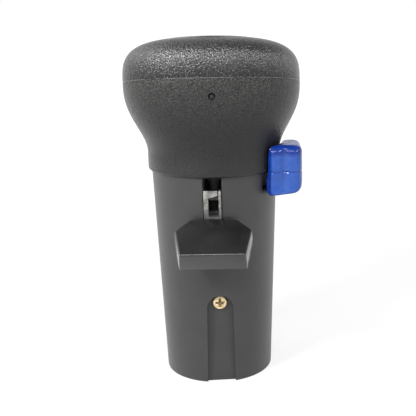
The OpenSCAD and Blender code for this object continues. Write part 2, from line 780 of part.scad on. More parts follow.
module splitter_button() {
    clear_h = collar_h - button_gap;
    foot_h = button_foot - over;
    top_h = button_top + over;
    collar_way = collar_r + button_gap;
    color("#1f4fbf") from_rim() difference() {
        intersection() {
            towards_front(button_front - button_d - over, button_d + 2 * over) button_outline();
            translate([0, 0, button_foot - over]) linear_extrude(button_hgt + 2 * over) button_plan();
        }
        sliding_way(skirt_r(foot_h) + button_gap, skirt_r(clear_h) + button_gap, foot_h, clear_h + eps);
        sliding_way(collar_way, collar_way, clear_h, flare_h + eps);
        sliding_way(collar_way, flare_section(top_h)[1] + button_gap, flare_h, top_h);
        stem_block();
    }
}

module stem_block() {
    x_in = split_x + split_r + 0.6;
    translate([x_in, -stem_y - stem_d / 2, split_h - stem_h / 2])
        cube([collar_r + stem_bite - x_in, stem_d, stem_h]);
}

module splitter_stem() {
    x_in = split_x - split_neck_r - 0.4;
    color("#b9b8b3") from_rim() union() {
        stem_block();
        difference() {
            translate([x_in, -stem_y - fork_plate / 2, split_h - stem_h / 2])
                cube([split_r + split_neck_r + 2, fork_plate, stem_h]);
            long_rod(split_neck_r + seat_gap, -stem_y - fork_plate, -stem_y + fork_plate, split_x, split_h);
            translate([x_in - over, -stem_y - fork_plate, split_h - split_neck_r - seat_gap])
                cube([split_x - x_in + over, 2 * fork_plate, 2 * (split_neck_r + seat_gap)]);
        }
    }
}

module splitter_spool() {
    front = -stem_y - split_neck_half - split_flange;
    color("#a8834a") from_rim() difference() {
        union() {
            long_rod(split_r, front, front + split_flange, split_x, split_h);
            long_rod(split_neck_r, front, split_end, split_x, split_h);
            long_rod(split_r, -stem_y + split_neck_half, split_end, split_x, split_h);
        }
        for (y = split_seal_y) translate([split_x, y - seal_r - seat_gap, split_h]) rotate([-90, 0, 0])
            seal_groove(split_r);
        for (y = [0, button_travel]) translate([split_x, split_detent_y + y, split_h]) rotate([-90, 0, 0])
            detent_groove(split_r, ball_r);
    }
}

module splitter_spool_seals() {
    color("#151515") from_rim() for (y = split_seal_y) translate([split_x, y, split_h]) rotate([-90, 0, 0])
        spool_seal(split_r);
}

module splitter_bore_plug() {
    color("#8f8f8c") from_rim()
        long_rod(split_bore_r - seat_gap, split_bore_end - split_plug_t, split_bore_end, split_x, split_h);
}

module splitter_detent_ball() {
    color("#c8c8c8") from_rim() splitter_detent_at() detent_ball();
}

module splitter_detent_spring() {
    color("#9a9a98") from_rim() splitter_detent_at() detent_spring(split_spring_len);
}

module splitter_detent_plug() {
    color("#7d7d7b") from_rim() splitter_detent_at() detent_plug(split_spring_len);
}

// Ports
module port_fittings() {
    color("#c2a14c") from_rim() every_port() difference() {
        union() {
            translate([0, 0, -fitting_len]) cylinder(r = fitting_r, h = fitting_len);
            cylinder(r = shank_r, h = shank_len);
        }
        translate([0, 0, -fitting_len - over]) cylinder(r = collet_r + seat_gap, h = collet_in + over);
        translate([0, 0, -fitting_len]) cylinder(r = tube_r, h = collet_in + tube_len);
        translate([0, 0, -fitting_len]) cylinder(r = passage_r, h = fitting_len + shank_len + over);
        translate([0, 0, -fitting_len + collet_in + tube_len / 2])
            ring(tube_r + port_seal_r, port_seal_r + seat_gap);
    }
}

module port_collets() {
    color("#2a2a2c") from_rim() every_port() translate([0, 0, -fitting_len]) difference() {
        union() {
            translate([0, 0, -collet_out]) cylinder(r = collet_r, h = collet_in + collet_out);
            translate([0, 0, -collet_out]) cylinder(r = fitting_r - 0.3, h = collet_out - 0.6);
        }
        translate([0, 0, -collet_out - over])
            cylinder(r = tube_r + move_gap, h = collet_in + collet_out + 2 * over);
    }
}

module port_seals() {
    color("#151515") from_rim() every_port()
        translate([0, 0, -fitting_len + collet_in + tube_len / 2]) ring(tube_r + port_seal_r, port_seal_r);
}

module passage_plugs() {
    plug_len = 4;
    plug_x = sqrt(pow(body_r, 2) - pow(port_y + passage_r, 2)) - 0.3;
    color("#c8c8c8") from_rim() {
        cross_rod(passage_r - seat_gap, -plug_x, -plug_x + plug_len, port_y, range_port_h[0]);
        cross_rod(passage_r - seat_gap, plug_x - plug_len, plug_x, port_y, range_port_h[1]);
        cross_rod(passage_r - seat_gap, -plug_x, -plug_x + plug_len, -split_port_y, split_h);
    }
}

grip_head();
pattern_plate();
head_screws();
skirt();
skirt_screws();
valve_body();
lever_insert();
range_stirrup();
range_paddle();
range_pivot_pin();
range_spool();
range_spool_seals();
range_bore_plug();
range_detent_ball();
range_detent_spring();
range_detent_plug();
splitter_button();
splitter_stem();
splitter_spool();
splitter_spool_seals();
splitter_bore_plug();
splitter_detent_ball();
splitter_detent_spring();
splitter_detent_plug();
port_fittings();
port_collets();
port_seals();
passage_plugs();
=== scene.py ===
# %% [markdown]
# A gear shift knob for a heavy truck stands on its open rim. A grained head sits on a
# tapered skirt, a finger paddle on a plated stirrup flips up at the front, and a blue
# button slides at the side. The solids come in as a fixed frame. This lesson dresses
# them: it loads the frame, sets the camera, mixes one finish for each material,
# remakes the pieces whose soft edges the eye looks for, and lights a small studio.

# %% Load the frame
import json
import math

import bmesh
import bpy
import numpy as np
from mathutils import Matrix, Vector


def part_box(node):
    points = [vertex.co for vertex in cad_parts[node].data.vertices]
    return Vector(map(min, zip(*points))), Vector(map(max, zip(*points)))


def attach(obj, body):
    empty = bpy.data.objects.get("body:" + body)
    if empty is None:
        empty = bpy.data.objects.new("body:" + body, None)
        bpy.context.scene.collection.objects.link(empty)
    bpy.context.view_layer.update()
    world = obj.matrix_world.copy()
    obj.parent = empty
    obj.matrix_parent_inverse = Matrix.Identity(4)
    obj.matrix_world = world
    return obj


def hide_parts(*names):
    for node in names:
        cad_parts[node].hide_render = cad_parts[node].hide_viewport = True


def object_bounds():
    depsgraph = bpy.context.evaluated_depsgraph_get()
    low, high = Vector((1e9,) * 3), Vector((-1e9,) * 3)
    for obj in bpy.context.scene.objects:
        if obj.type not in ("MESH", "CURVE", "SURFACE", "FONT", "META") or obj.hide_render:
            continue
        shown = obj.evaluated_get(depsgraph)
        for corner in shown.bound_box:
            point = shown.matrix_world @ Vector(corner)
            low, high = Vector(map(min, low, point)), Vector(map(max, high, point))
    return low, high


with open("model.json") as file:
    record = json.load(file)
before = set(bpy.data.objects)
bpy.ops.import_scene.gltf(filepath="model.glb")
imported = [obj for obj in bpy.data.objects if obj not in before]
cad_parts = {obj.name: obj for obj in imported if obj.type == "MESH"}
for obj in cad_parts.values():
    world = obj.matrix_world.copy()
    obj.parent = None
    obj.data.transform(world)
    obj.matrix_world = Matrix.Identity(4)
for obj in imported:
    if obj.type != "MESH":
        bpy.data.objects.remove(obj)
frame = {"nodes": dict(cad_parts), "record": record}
cad_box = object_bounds()
scene = bpy.context.scene
nodes = frame["nodes"]
MM = 0.001

# %% [markdown]
# The photograph looks slightly down at the front from a little over a third of a
# metre. Its middle is not on the lens axis, as in a cropped picture, so the camera
# has a small sideways shift. The camera's axes are written out, because the picture
# is also rolled by about a degree. The focal length and the shift are in pixels.

# %% Camera at the photograph's angle
EYE = Vector((17.15, -358.84, 139.08)) * MM
RIGHT = Vector((0.99986, -0.00407, -0.01633))
UP = Vector((0.01683, 0.24176, 0.97019))
PHOTO_SIDE, FOCAL, SIDEWAYS, SENSOR = 416, 818.3, -45.6, 36
lens = bpy.data.cameras.new("photo_camera")
lens.sensor_width = SENSOR
lens.lens = FOCAL / PHOTO_SIDE * SENSOR
lens.shift_x = SIDEWAYS / PHOTO_SIDE
lens.clip_start = 0.01
camera = bpy.data.objects.new("photo_camera", lens)
scene.collection.objects.link(camera)
turn = Matrix((RIGHT, UP, RIGHT.cross(UP))).transposed()
camera.matrix_world = Matrix.Translation(EYE) @ turn.to_4x4()
scene.camera = camera
print("camera:", round(lens.lens, 1), "mm lens")

# %% [markdown]
# A finish is a small tree of shader nodes. A few helpers keep the trees short. The
# first starts a finish, with its constant values set on the shader itself. The second
# gives a place on the piece in millimetres, so that a grain of 1 mm is written as 1.

# %% Start a finish
def start_finish(name, color, rough, metal=0.0, shine=0.5):
    """A new finish, its node tree and its shader."""
    finish = bpy.data.materials.new(name)
    finish.use_nodes = True
    tree = finish.node_tree
    shader = tree.nodes["Principled BSDF"]
    shader.inputs["Base Color"].default_value = (*color, 1)
    shader.inputs["Roughness"].default_value = rough
    shader.inputs["Metallic"].default_value = metal
    shader.inputs["Specular IOR Level"].default_value = shine
    return finish, tree, shader


def place(tree, size=(1, 1, 1)):
    """Object coordinates in millimetres, divided by the size of the pattern."""
    spot = tree.nodes.new("ShaderNodeTexCoord")
    scale = tree.nodes.new("ShaderNodeMapping")
    scale.inputs["Scale"].default_value = [1 / MM / s for s in size]
    tree.links.new(spot.outputs["Object"], scale.inputs["Vector"])
    return scale.outputs["Vector"]


finishes = {}
print("finishes can be started")

# %% [markdown]
# Two patterns are enough for every surface here: noise for clouds, wrinkles and drawn
# grain, and rounded cells for the pebbles of leather.

# %% Patterns
def noise(tree, size, detail=2.0, rough=0.5):
    """Clouds of a size in millimetres, one number or three."""
    node = tree.nodes.new("ShaderNodeTexNoise")
    node.inputs["Scale"].default_value = 1
    node.inputs["Detail"].default_value = detail
    node.inputs["Roughness"].default_value = rough
    size = size if isinstance(size, tuple) else (size, size, size)
    tree.links.new(place(tree, size), node.inputs["Vector"])
    return node.outputs["Fac"]


def cells(tree, size):
    """Rounded cells of a size in millimetres, 0 in the middle of each."""
    node = tree.nodes.new("ShaderNodeTexVoronoi")
    node.feature = "SMOOTH_F1"
    node.inputs["Scale"].default_value = 1
    tree.links.new(place(tree, (size, size, size)), node.inputs["Vector"])
    return node.outputs["Distance"]


print("patterns: noise, cells")

# %% [markdown]
# Patterns are combined by sums, and bent into shape by soft steps. A term of a sum may
# be a number or a socket of another node.

# %% Sums and soft steps
def sums(tree, op, a, b=0.0, c=0.0, clamp=False):
    """One sum in a node tree; each term is a number or a socket."""
    node = tree.nodes.new("ShaderNodeMath")
    node.operation = op
    node.use_clamp = clamp
    for slot, value in zip(node.inputs, (a, b, c)):
        if isinstance(value, (int, float)):
            slot.default_value = value
        else:
            tree.links.new(value, slot)
    return node.outputs[0]


def spread(tree, value, low, high, to_low=0.0, to_high=1.0):
    """Runs softly from to_low to to_high while the value runs from low to high."""
    node = tree.nodes.new("ShaderNodeMapRange")
    node.interpolation_type = "SMOOTHSTEP"
    tree.links.new(value, node.inputs["Value"])
    ends = {"From Min": low, "From Max": high, "To Min": to_low, "To Max": to_high}
    for key, number in ends.items():
        node.inputs[key].default_value = number
    return node.outputs["Result"]


print("sums and soft steps ready")

# %% [markdown]
# A pattern shows in two ways: as a colour that runs between two tints, and as relief
# that tilts the light. Where a solid has a sharp edge, the relief can also soften it.

# %% Colour and relief
def tint(tree, shader, amount, low, high):
    """Base colour that runs from low to high with a pattern."""
    node = tree.nodes.new("ShaderNodeMix")
    node.data_type = "RGBA"
    tree.links.new(amount, node.inputs["Factor"])
    node.inputs["A"].default_value = (*low, 1)
    node.inputs["B"].default_value = (*high, 1)
    tree.links.new(node.outputs["Result"], shader.inputs["Base Color"])


def raise_surface(tree, shader, height, depth_mm, strength=1.0, edge_mm=0.0):
    """Bumps from a pattern; edge_mm also makes sharp edges catch light as if rounded."""
    node = tree.nodes.new("ShaderNodeBump")
    if edge_mm:
        soft = tree.nodes.new("ShaderNodeBevel")
        soft.inputs["Radius"].default_value = edge_mm * MM
        tree.links.new(soft.outputs[0], node.inputs["Normal"])
    node.inputs["Strength"].default_value = strength
    node.inputs["Distance"].default_value = depth_mm * MM
    tree.links.new(height, node.inputs["Height"])
    tree.links.new(node.outputs["Normal"], shader.inputs["Normal"])


print("colour and relief ready")

# %% [markdown]
# The head is moulded in black plastic with a leather grain, which changes with height:
# coarse and shiny above the mould's parting line, fine below it, and bolder again on
# the collar. The head slopes, so a pattern that only read Z would cross the parting
# line. The slope is taken out first, and each zone is then a soft step in height.

# %% Zones of the head
HEAD_TILT = math.radians(8.5)
PARTING = 106.2


def axes(tree):
    """X, Y and Z on a piece, in millimetres."""
    split = tree.nodes.new("ShaderNodeSeparateXYZ")
    tree.links.new(place(tree), split.inputs[0])
    return split.outputs


def head_height(tree):
    """Height with the head's slope taken out."""
    spot = axes(tree)
    drop = sums(tree, "MULTIPLY", spot["Y"], math.tan(HEAD_TILT))
    return sums(tree, "ADD", spot["Z"], drop)


finish, tree, shader = start_finish("grained_black", (0.02, 0.02, 0.02), 0.45)
height = head_height(tree)
coarse = spread(tree, height, PARTING - 1.5, PARTING + 0.5)
low_down = spread(tree, height, PARTING - 40, PARTING - 6, 0.7, 1.0)
collar = spread(tree, height, PARTING - 38, PARTING - 31, 1.0, 0.0)
print("parting line at", PARTING, "mm")

# %% [markdown]
# Leather grain is a field of pebbles with fine wrinkles over them. Two sizes of cells
# make the pebbles, and noise makes the wrinkles. The parting line is a thin seam of
# flash that is broken here and there. Painted shade darkens a ring along the wall of
# the small pit where the mould's gate was cut, most of all on its upper side.

# %% Grain, seam and pit shade
BIG_PEBBLE, FINE_PEBBLE, WRINKLE = 0.8, 0.6, 0.55
GRAIN_DEPTH, SEAM_HALF, SEAM_FADE = 0.33, 0.06, 0.24
DIMPLE = (1.25, -33.0, 103.8)
RING_FROM, RING_FULL, RING_FADE, RING_END = 0.7, 1.1, 1.5, 1.75

fine = cells(tree, FINE_PEBBLE)
wrinkle = noise(tree, WRINKLE, 3.0, 0.6)
bold = sums(tree, "MULTIPLY_ADD", collar, 0.7, coarse)
bold = sums(tree, "MULTIPLY", cells(tree, BIG_PEBBLE), bold)
pebble = sums(tree, "MULTIPLY", sums(tree, "MULTIPLY_ADD", fine, 0.6, bold), -1.0)
grain = sums(tree, "MULTIPLY", sums(tree, "MULTIPLY_ADD", wrinkle, 0.5, pebble), low_down)
broken = spread(tree, noise(tree, 6.0, 2.0), 0.3, 0.5)
near = sums(tree, "ABSOLUTE", sums(tree, "SUBTRACT", height, PARTING))
seam = sums(tree, "MULTIPLY", spread(tree, near, SEAM_HALF, SEAM_FADE, 1.0, 0.0), broken)
raise_surface(tree, shader, sums(tree, "MULTIPLY_ADD", seam, 0.2, grain), GRAIN_DEPTH, 0.9)

# Painted shade: a ring on the wall of the gate pit, strongest on its upper side.
away = tree.nodes.new("ShaderNodeVectorMath")
away.operation = "DISTANCE"
away.inputs[1].default_value = DIMPLE
tree.links.new(place(tree), away.inputs[0])
gap = away.outputs["Value"]
inner, outer = spread(tree, gap, RING_FROM, RING_FULL), spread(tree, gap, RING_FADE, RING_END, 1.0, 0.0)
ring = sums(tree, "MULTIPLY", inner, outer)
upper = spread(tree, axes(tree)["Z"], DIMPLE[2] - 0.8, DIMPLE[2] + 0.4, 0.25, 1.0)
pit_shade = sums(tree, "MULTIPLY", ring, upper)
print("grain of", BIG_PEBBLE, "and", FINE_PEBBLE, "mm")

# %% [markdown]
# Handling rubs the tops of the pebbles, so they are paler and a little rougher than the
# hollows. Towards the crown they are made paler still as painted light from above, and
# the grain above the parting line is also shinier as a whole than the grain below it.
# The painted shade in the gate pit is taken off both the colour and the shine.

# %% Colour and gloss of the head
HOLLOWS, RUBBED_AND_LIT = (0.0052, 0.005, 0.0052), (0.112, 0.108, 0.104)

tops = sums(tree, "MULTIPLY", spread(tree, pebble, -0.75, -0.25), spread(tree, wrinkle, 0.35, 0.7))
# Painted light: the pale pebble tops get paler towards the crown, as if lit from above.
tone_and_crown_light = sums(tree, "MULTIPLY", tops, spread(tree, height, PARTING - 25, PARTING + 10, 0.1, 0.6))
tone_and_crown_light = sums(tree, "MULTIPLY_ADD", seam, 0.6, tone_and_crown_light)
tint(tree, shader, sums(tree, "SUBTRACT", tone_and_crown_light, pit_shade, clamp=True), HOLLOWS, RUBBED_AND_LIT)
gloss = spread(tree, wrinkle, 0.3, 0.7, 0.32, 0.46)
gloss = sums(tree, "MULTIPLY_ADD", coarse, -0.08, gloss)
tree.links.new(gloss, shader.inputs["Roughness"])
shine = spread(tree, height, PARTING - 2, PARTING + 9, 0.23, 0.65)
shine = sums(tree, "MULTIPLY_ADD", collar, 0.08, shine)
shine = sums(tree, "MULTIPLY_ADD", pit_shade, -0.2, shine, clamp=True)
tree.links.new(shine, shader.inputs["Specular IOR Level"])
finishes["grained_black"] = finish
print("finish:", finish.name)

# %% [markdown]
# The skirt comes out of a mould with a fine spark-eroded texture, so it is satin and
# a little mottled. The paddle has the same plastic with a smoother skin and a thin
# mould seam down its middle. The valve body inside is a duller glass-filled plastic,
# made a lighter grey as painted light so that its face in the shaded slot reads as lit;
# the tube collets are plain, and the seals are dull rubber. One recipe with different
# sizes makes them all.

# %% Smooth black finishes
def moulded_black(name, dark, light, rough, texture_mm, depth_mm, shine=0.5, edge_mm=0.0, seam_mm=0.0):
    """Mottled plastic; edge_mm softens sharp edges, and seam_mm draws a line at X = 0."""
    finish, tree, shader = start_finish(name, light, sum(rough) / 2, shine=shine)
    cloud = noise(tree, 9.0, 3.0)
    fine = noise(tree, texture_mm, 2.0, 0.6)
    tone, relief = spread(tree, cloud, 0.3, 0.7), fine
    if seam_mm:
        beside = sums(tree, "ABSOLUTE", axes(tree)["X"])
        line = spread(tree, beside, seam_mm / 2, seam_mm, 1.0, 0.0)
        tone = sums(tree, "MULTIPLY_ADD", line, 1.5, tone)
        relief = sums(tree, "MULTIPLY_ADD", line, 4.0, fine)
    tint(tree, shader, tone, dark, light)
    tree.links.new(spread(tree, fine, 0.3, 0.7, *rough), shader.inputs["Roughness"])
    raise_surface(tree, shader, relief, depth_mm, 0.5, edge_mm)
    finishes[name] = finish
    print("finish:", name)


moulded_black("skirt_black", (0.0165, 0.0155, 0.0165), (0.02, 0.019, 0.02), (0.40, 0.50),
              texture_mm=0.35, depth_mm=0.05, shine=0.42, edge_mm=0.35)
moulded_black("paddle_black", (0.006, 0.006, 0.006), (0.010, 0.010, 0.010), (0.2, 0.24),
              texture_mm=3.0, depth_mm=0.01, seam_mm=0.3)
# Painted light: the valve body is a lifted grey, so that it shows lit inside the shaded slot.
moulded_black("body_black", (0.15, 0.15, 0.16), (0.19, 0.19, 0.2), (0.5, 0.65),
              texture_mm=0.4, depth_mm=0.06)
moulded_black("collet_black", (0.015, 0.015, 0.015), (0.025, 0.025, 0.025), (0.35, 0.45),
              texture_mm=0.4, depth_mm=0.03)
moulded_black("seal_black", (0.008, 0.008, 0.008), (0.014, 0.014, 0.014), (0.55, 0.7),
              texture_mm=0.3, depth_mm=0.03)

# %% [markdown]
# The button is polished blue plastic. Its colour runs right through, so there is only
# a slight cloudiness, and thumb wear makes the gloss uneven. As painted shade, the
# inner side, the top and the groove are a deeper blue than the front, so a mask made
# from the button's own box mixes a lit blue over a shaded one.

# %% Blue button finish
GROOVE_AT = 0.49
SHADED_BLUE, LIT_BLUE = (0.002, 0.02, 0.16), (0.011, 0.056, 0.265)

finish, tree, shader = start_finish("button_blue", (0.015, 0.08, 0.45), 0.2, shine=0.34)
low, high = [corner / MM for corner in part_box("splitter_button")]
groove_z = low.z + GROOVE_AT * (high.z - low.z)
spot = axes(tree)
# Painted shade: a deeper blue on the inner side, the top and the groove, and a paler lit front.
inward = spread(tree, spot["X"], low.x + 1.0, low.x + 3.4)
below = spread(tree, spot["Z"], high.z - 5.0, high.z - 3.0, 1.0, 0.0)
cloud = spread(tree, noise(tree, 6.0, 2.0), 0.3, 0.7, 0.7, 1.0)
lit_front_and_cloud = sums(tree, "MULTIPLY", sums(tree, "MULTIPLY", inward, below), cloud)
off = sums(tree, "ABSOLUTE", sums(tree, "SUBTRACT", spot["Z"], groove_z))
lit_front_and_cloud = sums(tree, "MULTIPLY", lit_front_and_cloud, spread(tree, off, 0.1, 0.4, 0.3, 1.0))
tint(tree, shader, lit_front_and_cloud, SHADED_BLUE, LIT_BLUE)
gloss = spread(tree, noise(tree, 2.5, 3.0), 0.3, 0.7, 0.16, 0.3)
tree.links.new(gloss, shader.inputs["Roughness"])
raise_surface(tree, shader, noise(tree, 2.5, 1.0), 0.02, 0.2)
finishes["button_blue"] = finish
print("finish:", finish.name)

# %% [markdown]
# Metals differ in how the surface was made. Plating is bright with faint blotches,
# turned brass has fine rings, and steel has a grain that is drawn out one way.

# %% Metal finishes
def metal(name, dark, light, rough, grain_mm, depth_mm):
    """Blotched metal with a grain that may be drawn out along one way."""
    finish, tree, shader = start_finish(name, light, sum(rough) / 2, 1.0)
    blotch = noise(tree, 2.2, 3.0)
    drawn = noise(tree, grain_mm, 2.0, 0.6)
    tint(tree, shader, spread(tree, blotch, 0.3, 0.7), dark, light)
    tree.links.new(spread(tree, drawn, 0.3, 0.7, *rough), shader.inputs["Roughness"])
    raise_surface(tree, shader, drawn, depth_mm, 0.5)
    finishes[name] = finish
    print("finish:", name)


metal("plated_steel", (0.11, 0.108, 0.102), (0.27, 0.265, 0.25), (0.25, 0.42), (0.4, 0.4, 2.0), 0.02)
metal("yellow_plated", (0.38, 0.29, 0.15), (0.6, 0.5, 0.32), (0.22, 0.36), (0.5, 0.5, 0.5), 0.015)
metal("brass", (0.50, 0.36, 0.14), (0.66, 0.48, 0.20), (0.28, 0.42), (3.0, 3.0, 0.25), 0.02)
metal("dark_steel", (0.05, 0.05, 0.052), (0.09, 0.09, 0.092), (0.3, 0.45), (0.4, 0.4, 1.5), 0.02)
metal("pattern_metal", (0.22, 0.225, 0.23), (0.26, 0.265, 0.27), (0.66, 0.8), (9.0, 0.25, 9.0), 0.01)

# %% [markdown]
# Three metals carry something on top. Painted shade darkens the stirrup inside the
# slot, and painted shade with the painted reflection of the black paddle darkens it
# lower down; painted shade fills the cross of the screws, and black paint fills the
# gate lines cut in the plate. Each is a mask that mixes a second colour over the first
# and takes the metal's shine away.

# %% Paint over metal
STIRRUP_SHADE, CROSS_SHADE, PAINT = (0.02, 0.02, 0.021), (0.07, 0.045, 0.015), (0.01, 0.01, 0.01)


def paint_over(name, mask, color, rough):
    """Mixes a colour without metal over a finish, and makes it rougher there."""
    tree = finishes[name].node_tree
    shader = tree.nodes["Principled BSDF"]
    bare = shader.inputs["Base Color"].links[0].from_socket
    mix = tree.nodes.new("ShaderNodeMix")
    mix.data_type = "RGBA"
    tree.links.new(mask, mix.inputs["Factor"])
    tree.links.new(bare, mix.inputs["A"])
    mix.inputs["B"].default_value = (*color, 1)
    tree.links.new(mix.outputs["Result"], shader.inputs["Base Color"])
    tree.links.new(sums(tree, "SUBTRACT", 1.0, mask), shader.inputs["Metallic"])
    bare = shader.inputs["Roughness"].links[0].from_socket
    dull = sums(tree, "MULTIPLY_ADD", mask, rough, bare, clamp=True)
    tree.links.new(dull, shader.inputs["Roughness"])
    print("painted over:", name)


print("metals to paint over:", "plated_steel, yellow_plated, pattern_metal")

# %% [markdown]
# Each mask follows a simple measure: how far in the stirrup reaches and how low, how
# far a screw's surface is from the knob's axis, and how deep the plate's grooves go.

# %% Painted shade and paint
SLOT_SHADE_FROM, SLOT_SHADE_FULL = -23.0, -19.0
LOW_SHADE_FROM, LOW_SHADE_FULL = 58.5, 53.0
RECESS_FROM, RECESS_FULL = 22.95, 22.7
PLATE_RADIUS, PAINT_FROM, PAINT_FULL = 21.0, 0.2, 0.4

tree = finishes["plated_steel"].node_tree
spot = axes(tree)
# Painted shade: the stirrup is darker and duller inside the slot, and lower down towards the paddle.
slot_shade = spread(tree, spot["Y"], SLOT_SHADE_FROM, SLOT_SHADE_FULL)
low_shade = spread(tree, spot["Z"], LOW_SHADE_FULL, LOW_SHADE_FROM, 0.85, 0.0)
paint_over("plated_steel", sums(tree, "MAXIMUM", slot_shade, low_shade), STIRRUP_SHADE, 0.2)

tree = finishes["yellow_plated"].node_tree
spot = axes(tree)
# Painted shade: darker in the screws' cross and round the foot of their heads.
out = sums(tree, "MULTIPLY", spot["Y"], spot["Y"])
out = sums(tree, "MULTIPLY_ADD", spot["X"], spot["X"], out)
cross_shade = spread(tree, sums(tree, "SQRT", out), RECESS_FULL, RECESS_FROM, 0.8, 0.0)
paint_over("yellow_plated", cross_shade, CROSS_SHADE, 0.2)

plate_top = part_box("pattern_plate")[1].z / MM - PLATE_RADIUS * math.sin(HEAD_TILT)
tree = finishes["pattern_metal"].node_tree
sunk = spread(tree, head_height(tree), plate_top - PAINT_FULL, plate_top - PAINT_FROM, 1.0, 0.0)
paint_over("pattern_metal", sunk, PAINT, 0.1)
print("plate top at", round(plate_top, 2), "mm")

# %% [markdown]
# Every solid that stays as it is gets the finish of its slot in the record. The solids
# that are replaced further on get theirs here too, so that none is ever left bare.

# %% Dress the solids
slot_of = {part["node"]: part["material_slot"] for part in frame["record"]["subparts"]}
for name, node in nodes.items():
    node.data.materials.clear()
    node.data.materials.append(finishes[slot_of[name]])
print("dressed:", len(nodes), "solids")

# %% [markdown]
# A new piece starts as a mesh, may carry modifiers while it is made, and ends as a plain
# mesh again. It then takes the place of the solid that it stands for: it gets the finish
# of its slot, rides on its body, and the solid is hidden.

# %% Make, settle and adopt a piece
def adopt(piece, body, slot, solid):
    """Puts a finished piece in the place of a solid: its finish, its body, the solid hidden."""
    piece.data.materials.clear()
    piece.data.materials.append(finishes[slot])
    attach(piece, body)
    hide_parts(solid)
    print("piece:", piece.name, len(piece.data.polygons), "faces on", body)


def mesh_piece(name, mesh):
    piece = bpy.data.objects.new(name, mesh)
    scene.collection.objects.link(piece)
    return piece


def settle(piece):
    """Applies a piece's modifiers, so that only a plain mesh is left."""
    bpy.context.view_layer.update()
    seen = piece.evaluated_get(bpy.context.evaluated_depsgraph_get())
    mesh = bpy.data.meshes.new_from_object(seen)
    piece.modifiers.clear()
    piece.data = mesh
    return piece


print("pieces can be made")

# %% [markdown]
# The head follows a rule: each level is a rounded rectangle that grows out of the
# round collar, and the crown closes over it up to the edge of the pattern plate.
# A rule like that suits Geometry Nodes. Node trees do sums with boxes and wires, so
# a tiny class lets the rule be written as plain arithmetic.

# %% Sums in a node tree
class Wire:
    """A number in a node tree that takes plain arithmetic."""

    def __init__(self, tree, socket):
        self.tree, self.socket = tree, socket

    def do(self, op, *others):
        terms = [getattr(term, "socket", term) for term in (self, *others)]
        return Wire(self.tree, sums(self.tree, op, *terms))

    def __add__(self, other):
        return self.do("ADD", other)

    def __sub__(self, other):
        return self.do("SUBTRACT", other)

    def __mul__(self, other):
        return self.do("MULTIPLY", other)

    def __truediv__(self, other):
        return self.do("DIVIDE", other)

    def __pow__(self, other):
        return self.do("POWER", other)

    def under(self, start):
        """What is left of start when this is taken away."""
        return Wire(self.tree, sums(self.tree, "SUBTRACT", start, self.socket))

    def signed_power(self, power):
        """A power that keeps the sign, as a rounded rectangle needs."""
        return self.do("ABSOLUTE") ** power * self.do("SIGN")


print("sums can be written")

# %% [markdown]
# A rule is a node tree with a named input for each of its sizes. It ends in real
# geometry with a finish on it. It is run once, on an empty mesh, and the result is kept
# as a plain mesh.

# %% Start, end and run a rule
def new_rule(name, sizes):
    """A geometry tree with one named input for each size."""
    tree = bpy.data.node_groups.new(name, "GeometryNodeTree")
    tree.interface.new_socket("Geometry", in_out="OUTPUT", socket_type="NodeSocketGeometry")
    for key, value in sizes.items():
        kind = "NodeSocketInt" if isinstance(value, int) else "NodeSocketFloat"
        if not isinstance(value, (int, float)):
            kind = "NodeSocketMaterial" if isinstance(value, bpy.types.Material) else "NodeSocketObject"
        tree.interface.new_socket(key, in_out="INPUT", socket_type=kind)
    return tree, tree.nodes.new("NodeGroupInput"), tree.nodes.new("NodeGroupOutput")


def grow(name, tree, sizes):
    """Runs a rule on an empty mesh and keeps the result as a plain mesh."""
    piece = mesh_piece(name, bpy.data.meshes.new(name))
    rule = piece.modifiers.new("rule", "NODES")
    rule.node_group = tree
    for item in tree.interface.items_tree:
        if item.in_out == "INPUT":
            rule[item.identifier] = sizes[item.name]
    return settle(piece)


def end_rule(tree, geometry, finish, end):
    """Every rule ends in real geometry with its finish on it."""
    real = tree.nodes.new("GeometryNodeRealizeInstances")
    coat = tree.nodes.new("GeometryNodeSetMaterial")
    tree.links.new(geometry, real.inputs[0])
    tree.links.new(real.outputs[0], coat.inputs["Geometry"])
    tree.links.new(finish, coat.inputs["Material"])
    tree.links.new(coat.outputs[0], end.inputs[0])


print("rules can be written")

# %% [markdown]
# Two sheets make the outside. The lower sheet runs from the lip to the widest level
# and the upper one from there to the plate. Both start as flat grids whose X becomes
# the way round and whose Y becomes the way up. The sizes repeat those of the solid.

# %% Rule for the head
HEAD = {"Half Width": 38.0, "Half Depth": 34.0, "Collar Radius": 29.1, "Lip": 70.5,
        "Flare From": 77.2, "Widest": 105.5, "Crown": 124.6, "Crown Power": 3.4,
        "Plan Power": 2.6, "Flare Skew": 1.3, "Slope": math.tan(HEAD_TILT),
        "Plate Radius": 21.03, "Around": 241, "Up": 64, "Finish": finishes["grained_black"]}
tree, given, end = new_rule("head_rule", HEAD)
size = {key: Wire(tree, given.outputs[key]) for key in HEAD}


def grid_sheet():
    """A unit grid, with its two directions as numbers from 0 to 1."""
    grid = tree.nodes.new("GeometryNodeMeshGrid")
    grid.inputs["Size X"].default_value = 1
    grid.inputs["Size Y"].default_value = 1
    tree.links.new(size["Around"].socket, grid.inputs["Vertices X"])
    tree.links.new(size["Up"].socket, grid.inputs["Vertices Y"])
    spot = tree.nodes.new("GeometryNodeInputPosition")
    split = tree.nodes.new("ShaderNodeSeparateXYZ")
    tree.links.new(spot.outputs[0], split.inputs[0])
    across, up = [Wire(tree, split.outputs[key]) + 0.5 for key in "XY"]
    return grid.outputs["Mesh"], across, up


def put(mesh, x, y, z):
    """Moves a sheet's points to x, y, z in millimetres."""
    join = tree.nodes.new("ShaderNodeCombineXYZ")
    for socket, value in zip(join.inputs, (x, y, z)):
        tree.links.new((value * MM).socket, socket)
    move = tree.nodes.new("GeometryNodeSetPosition")
    tree.links.new(mesh, move.inputs["Geometry"])
    tree.links.new(join.outputs[0], move.inputs["Position"])
    return move.outputs[0]


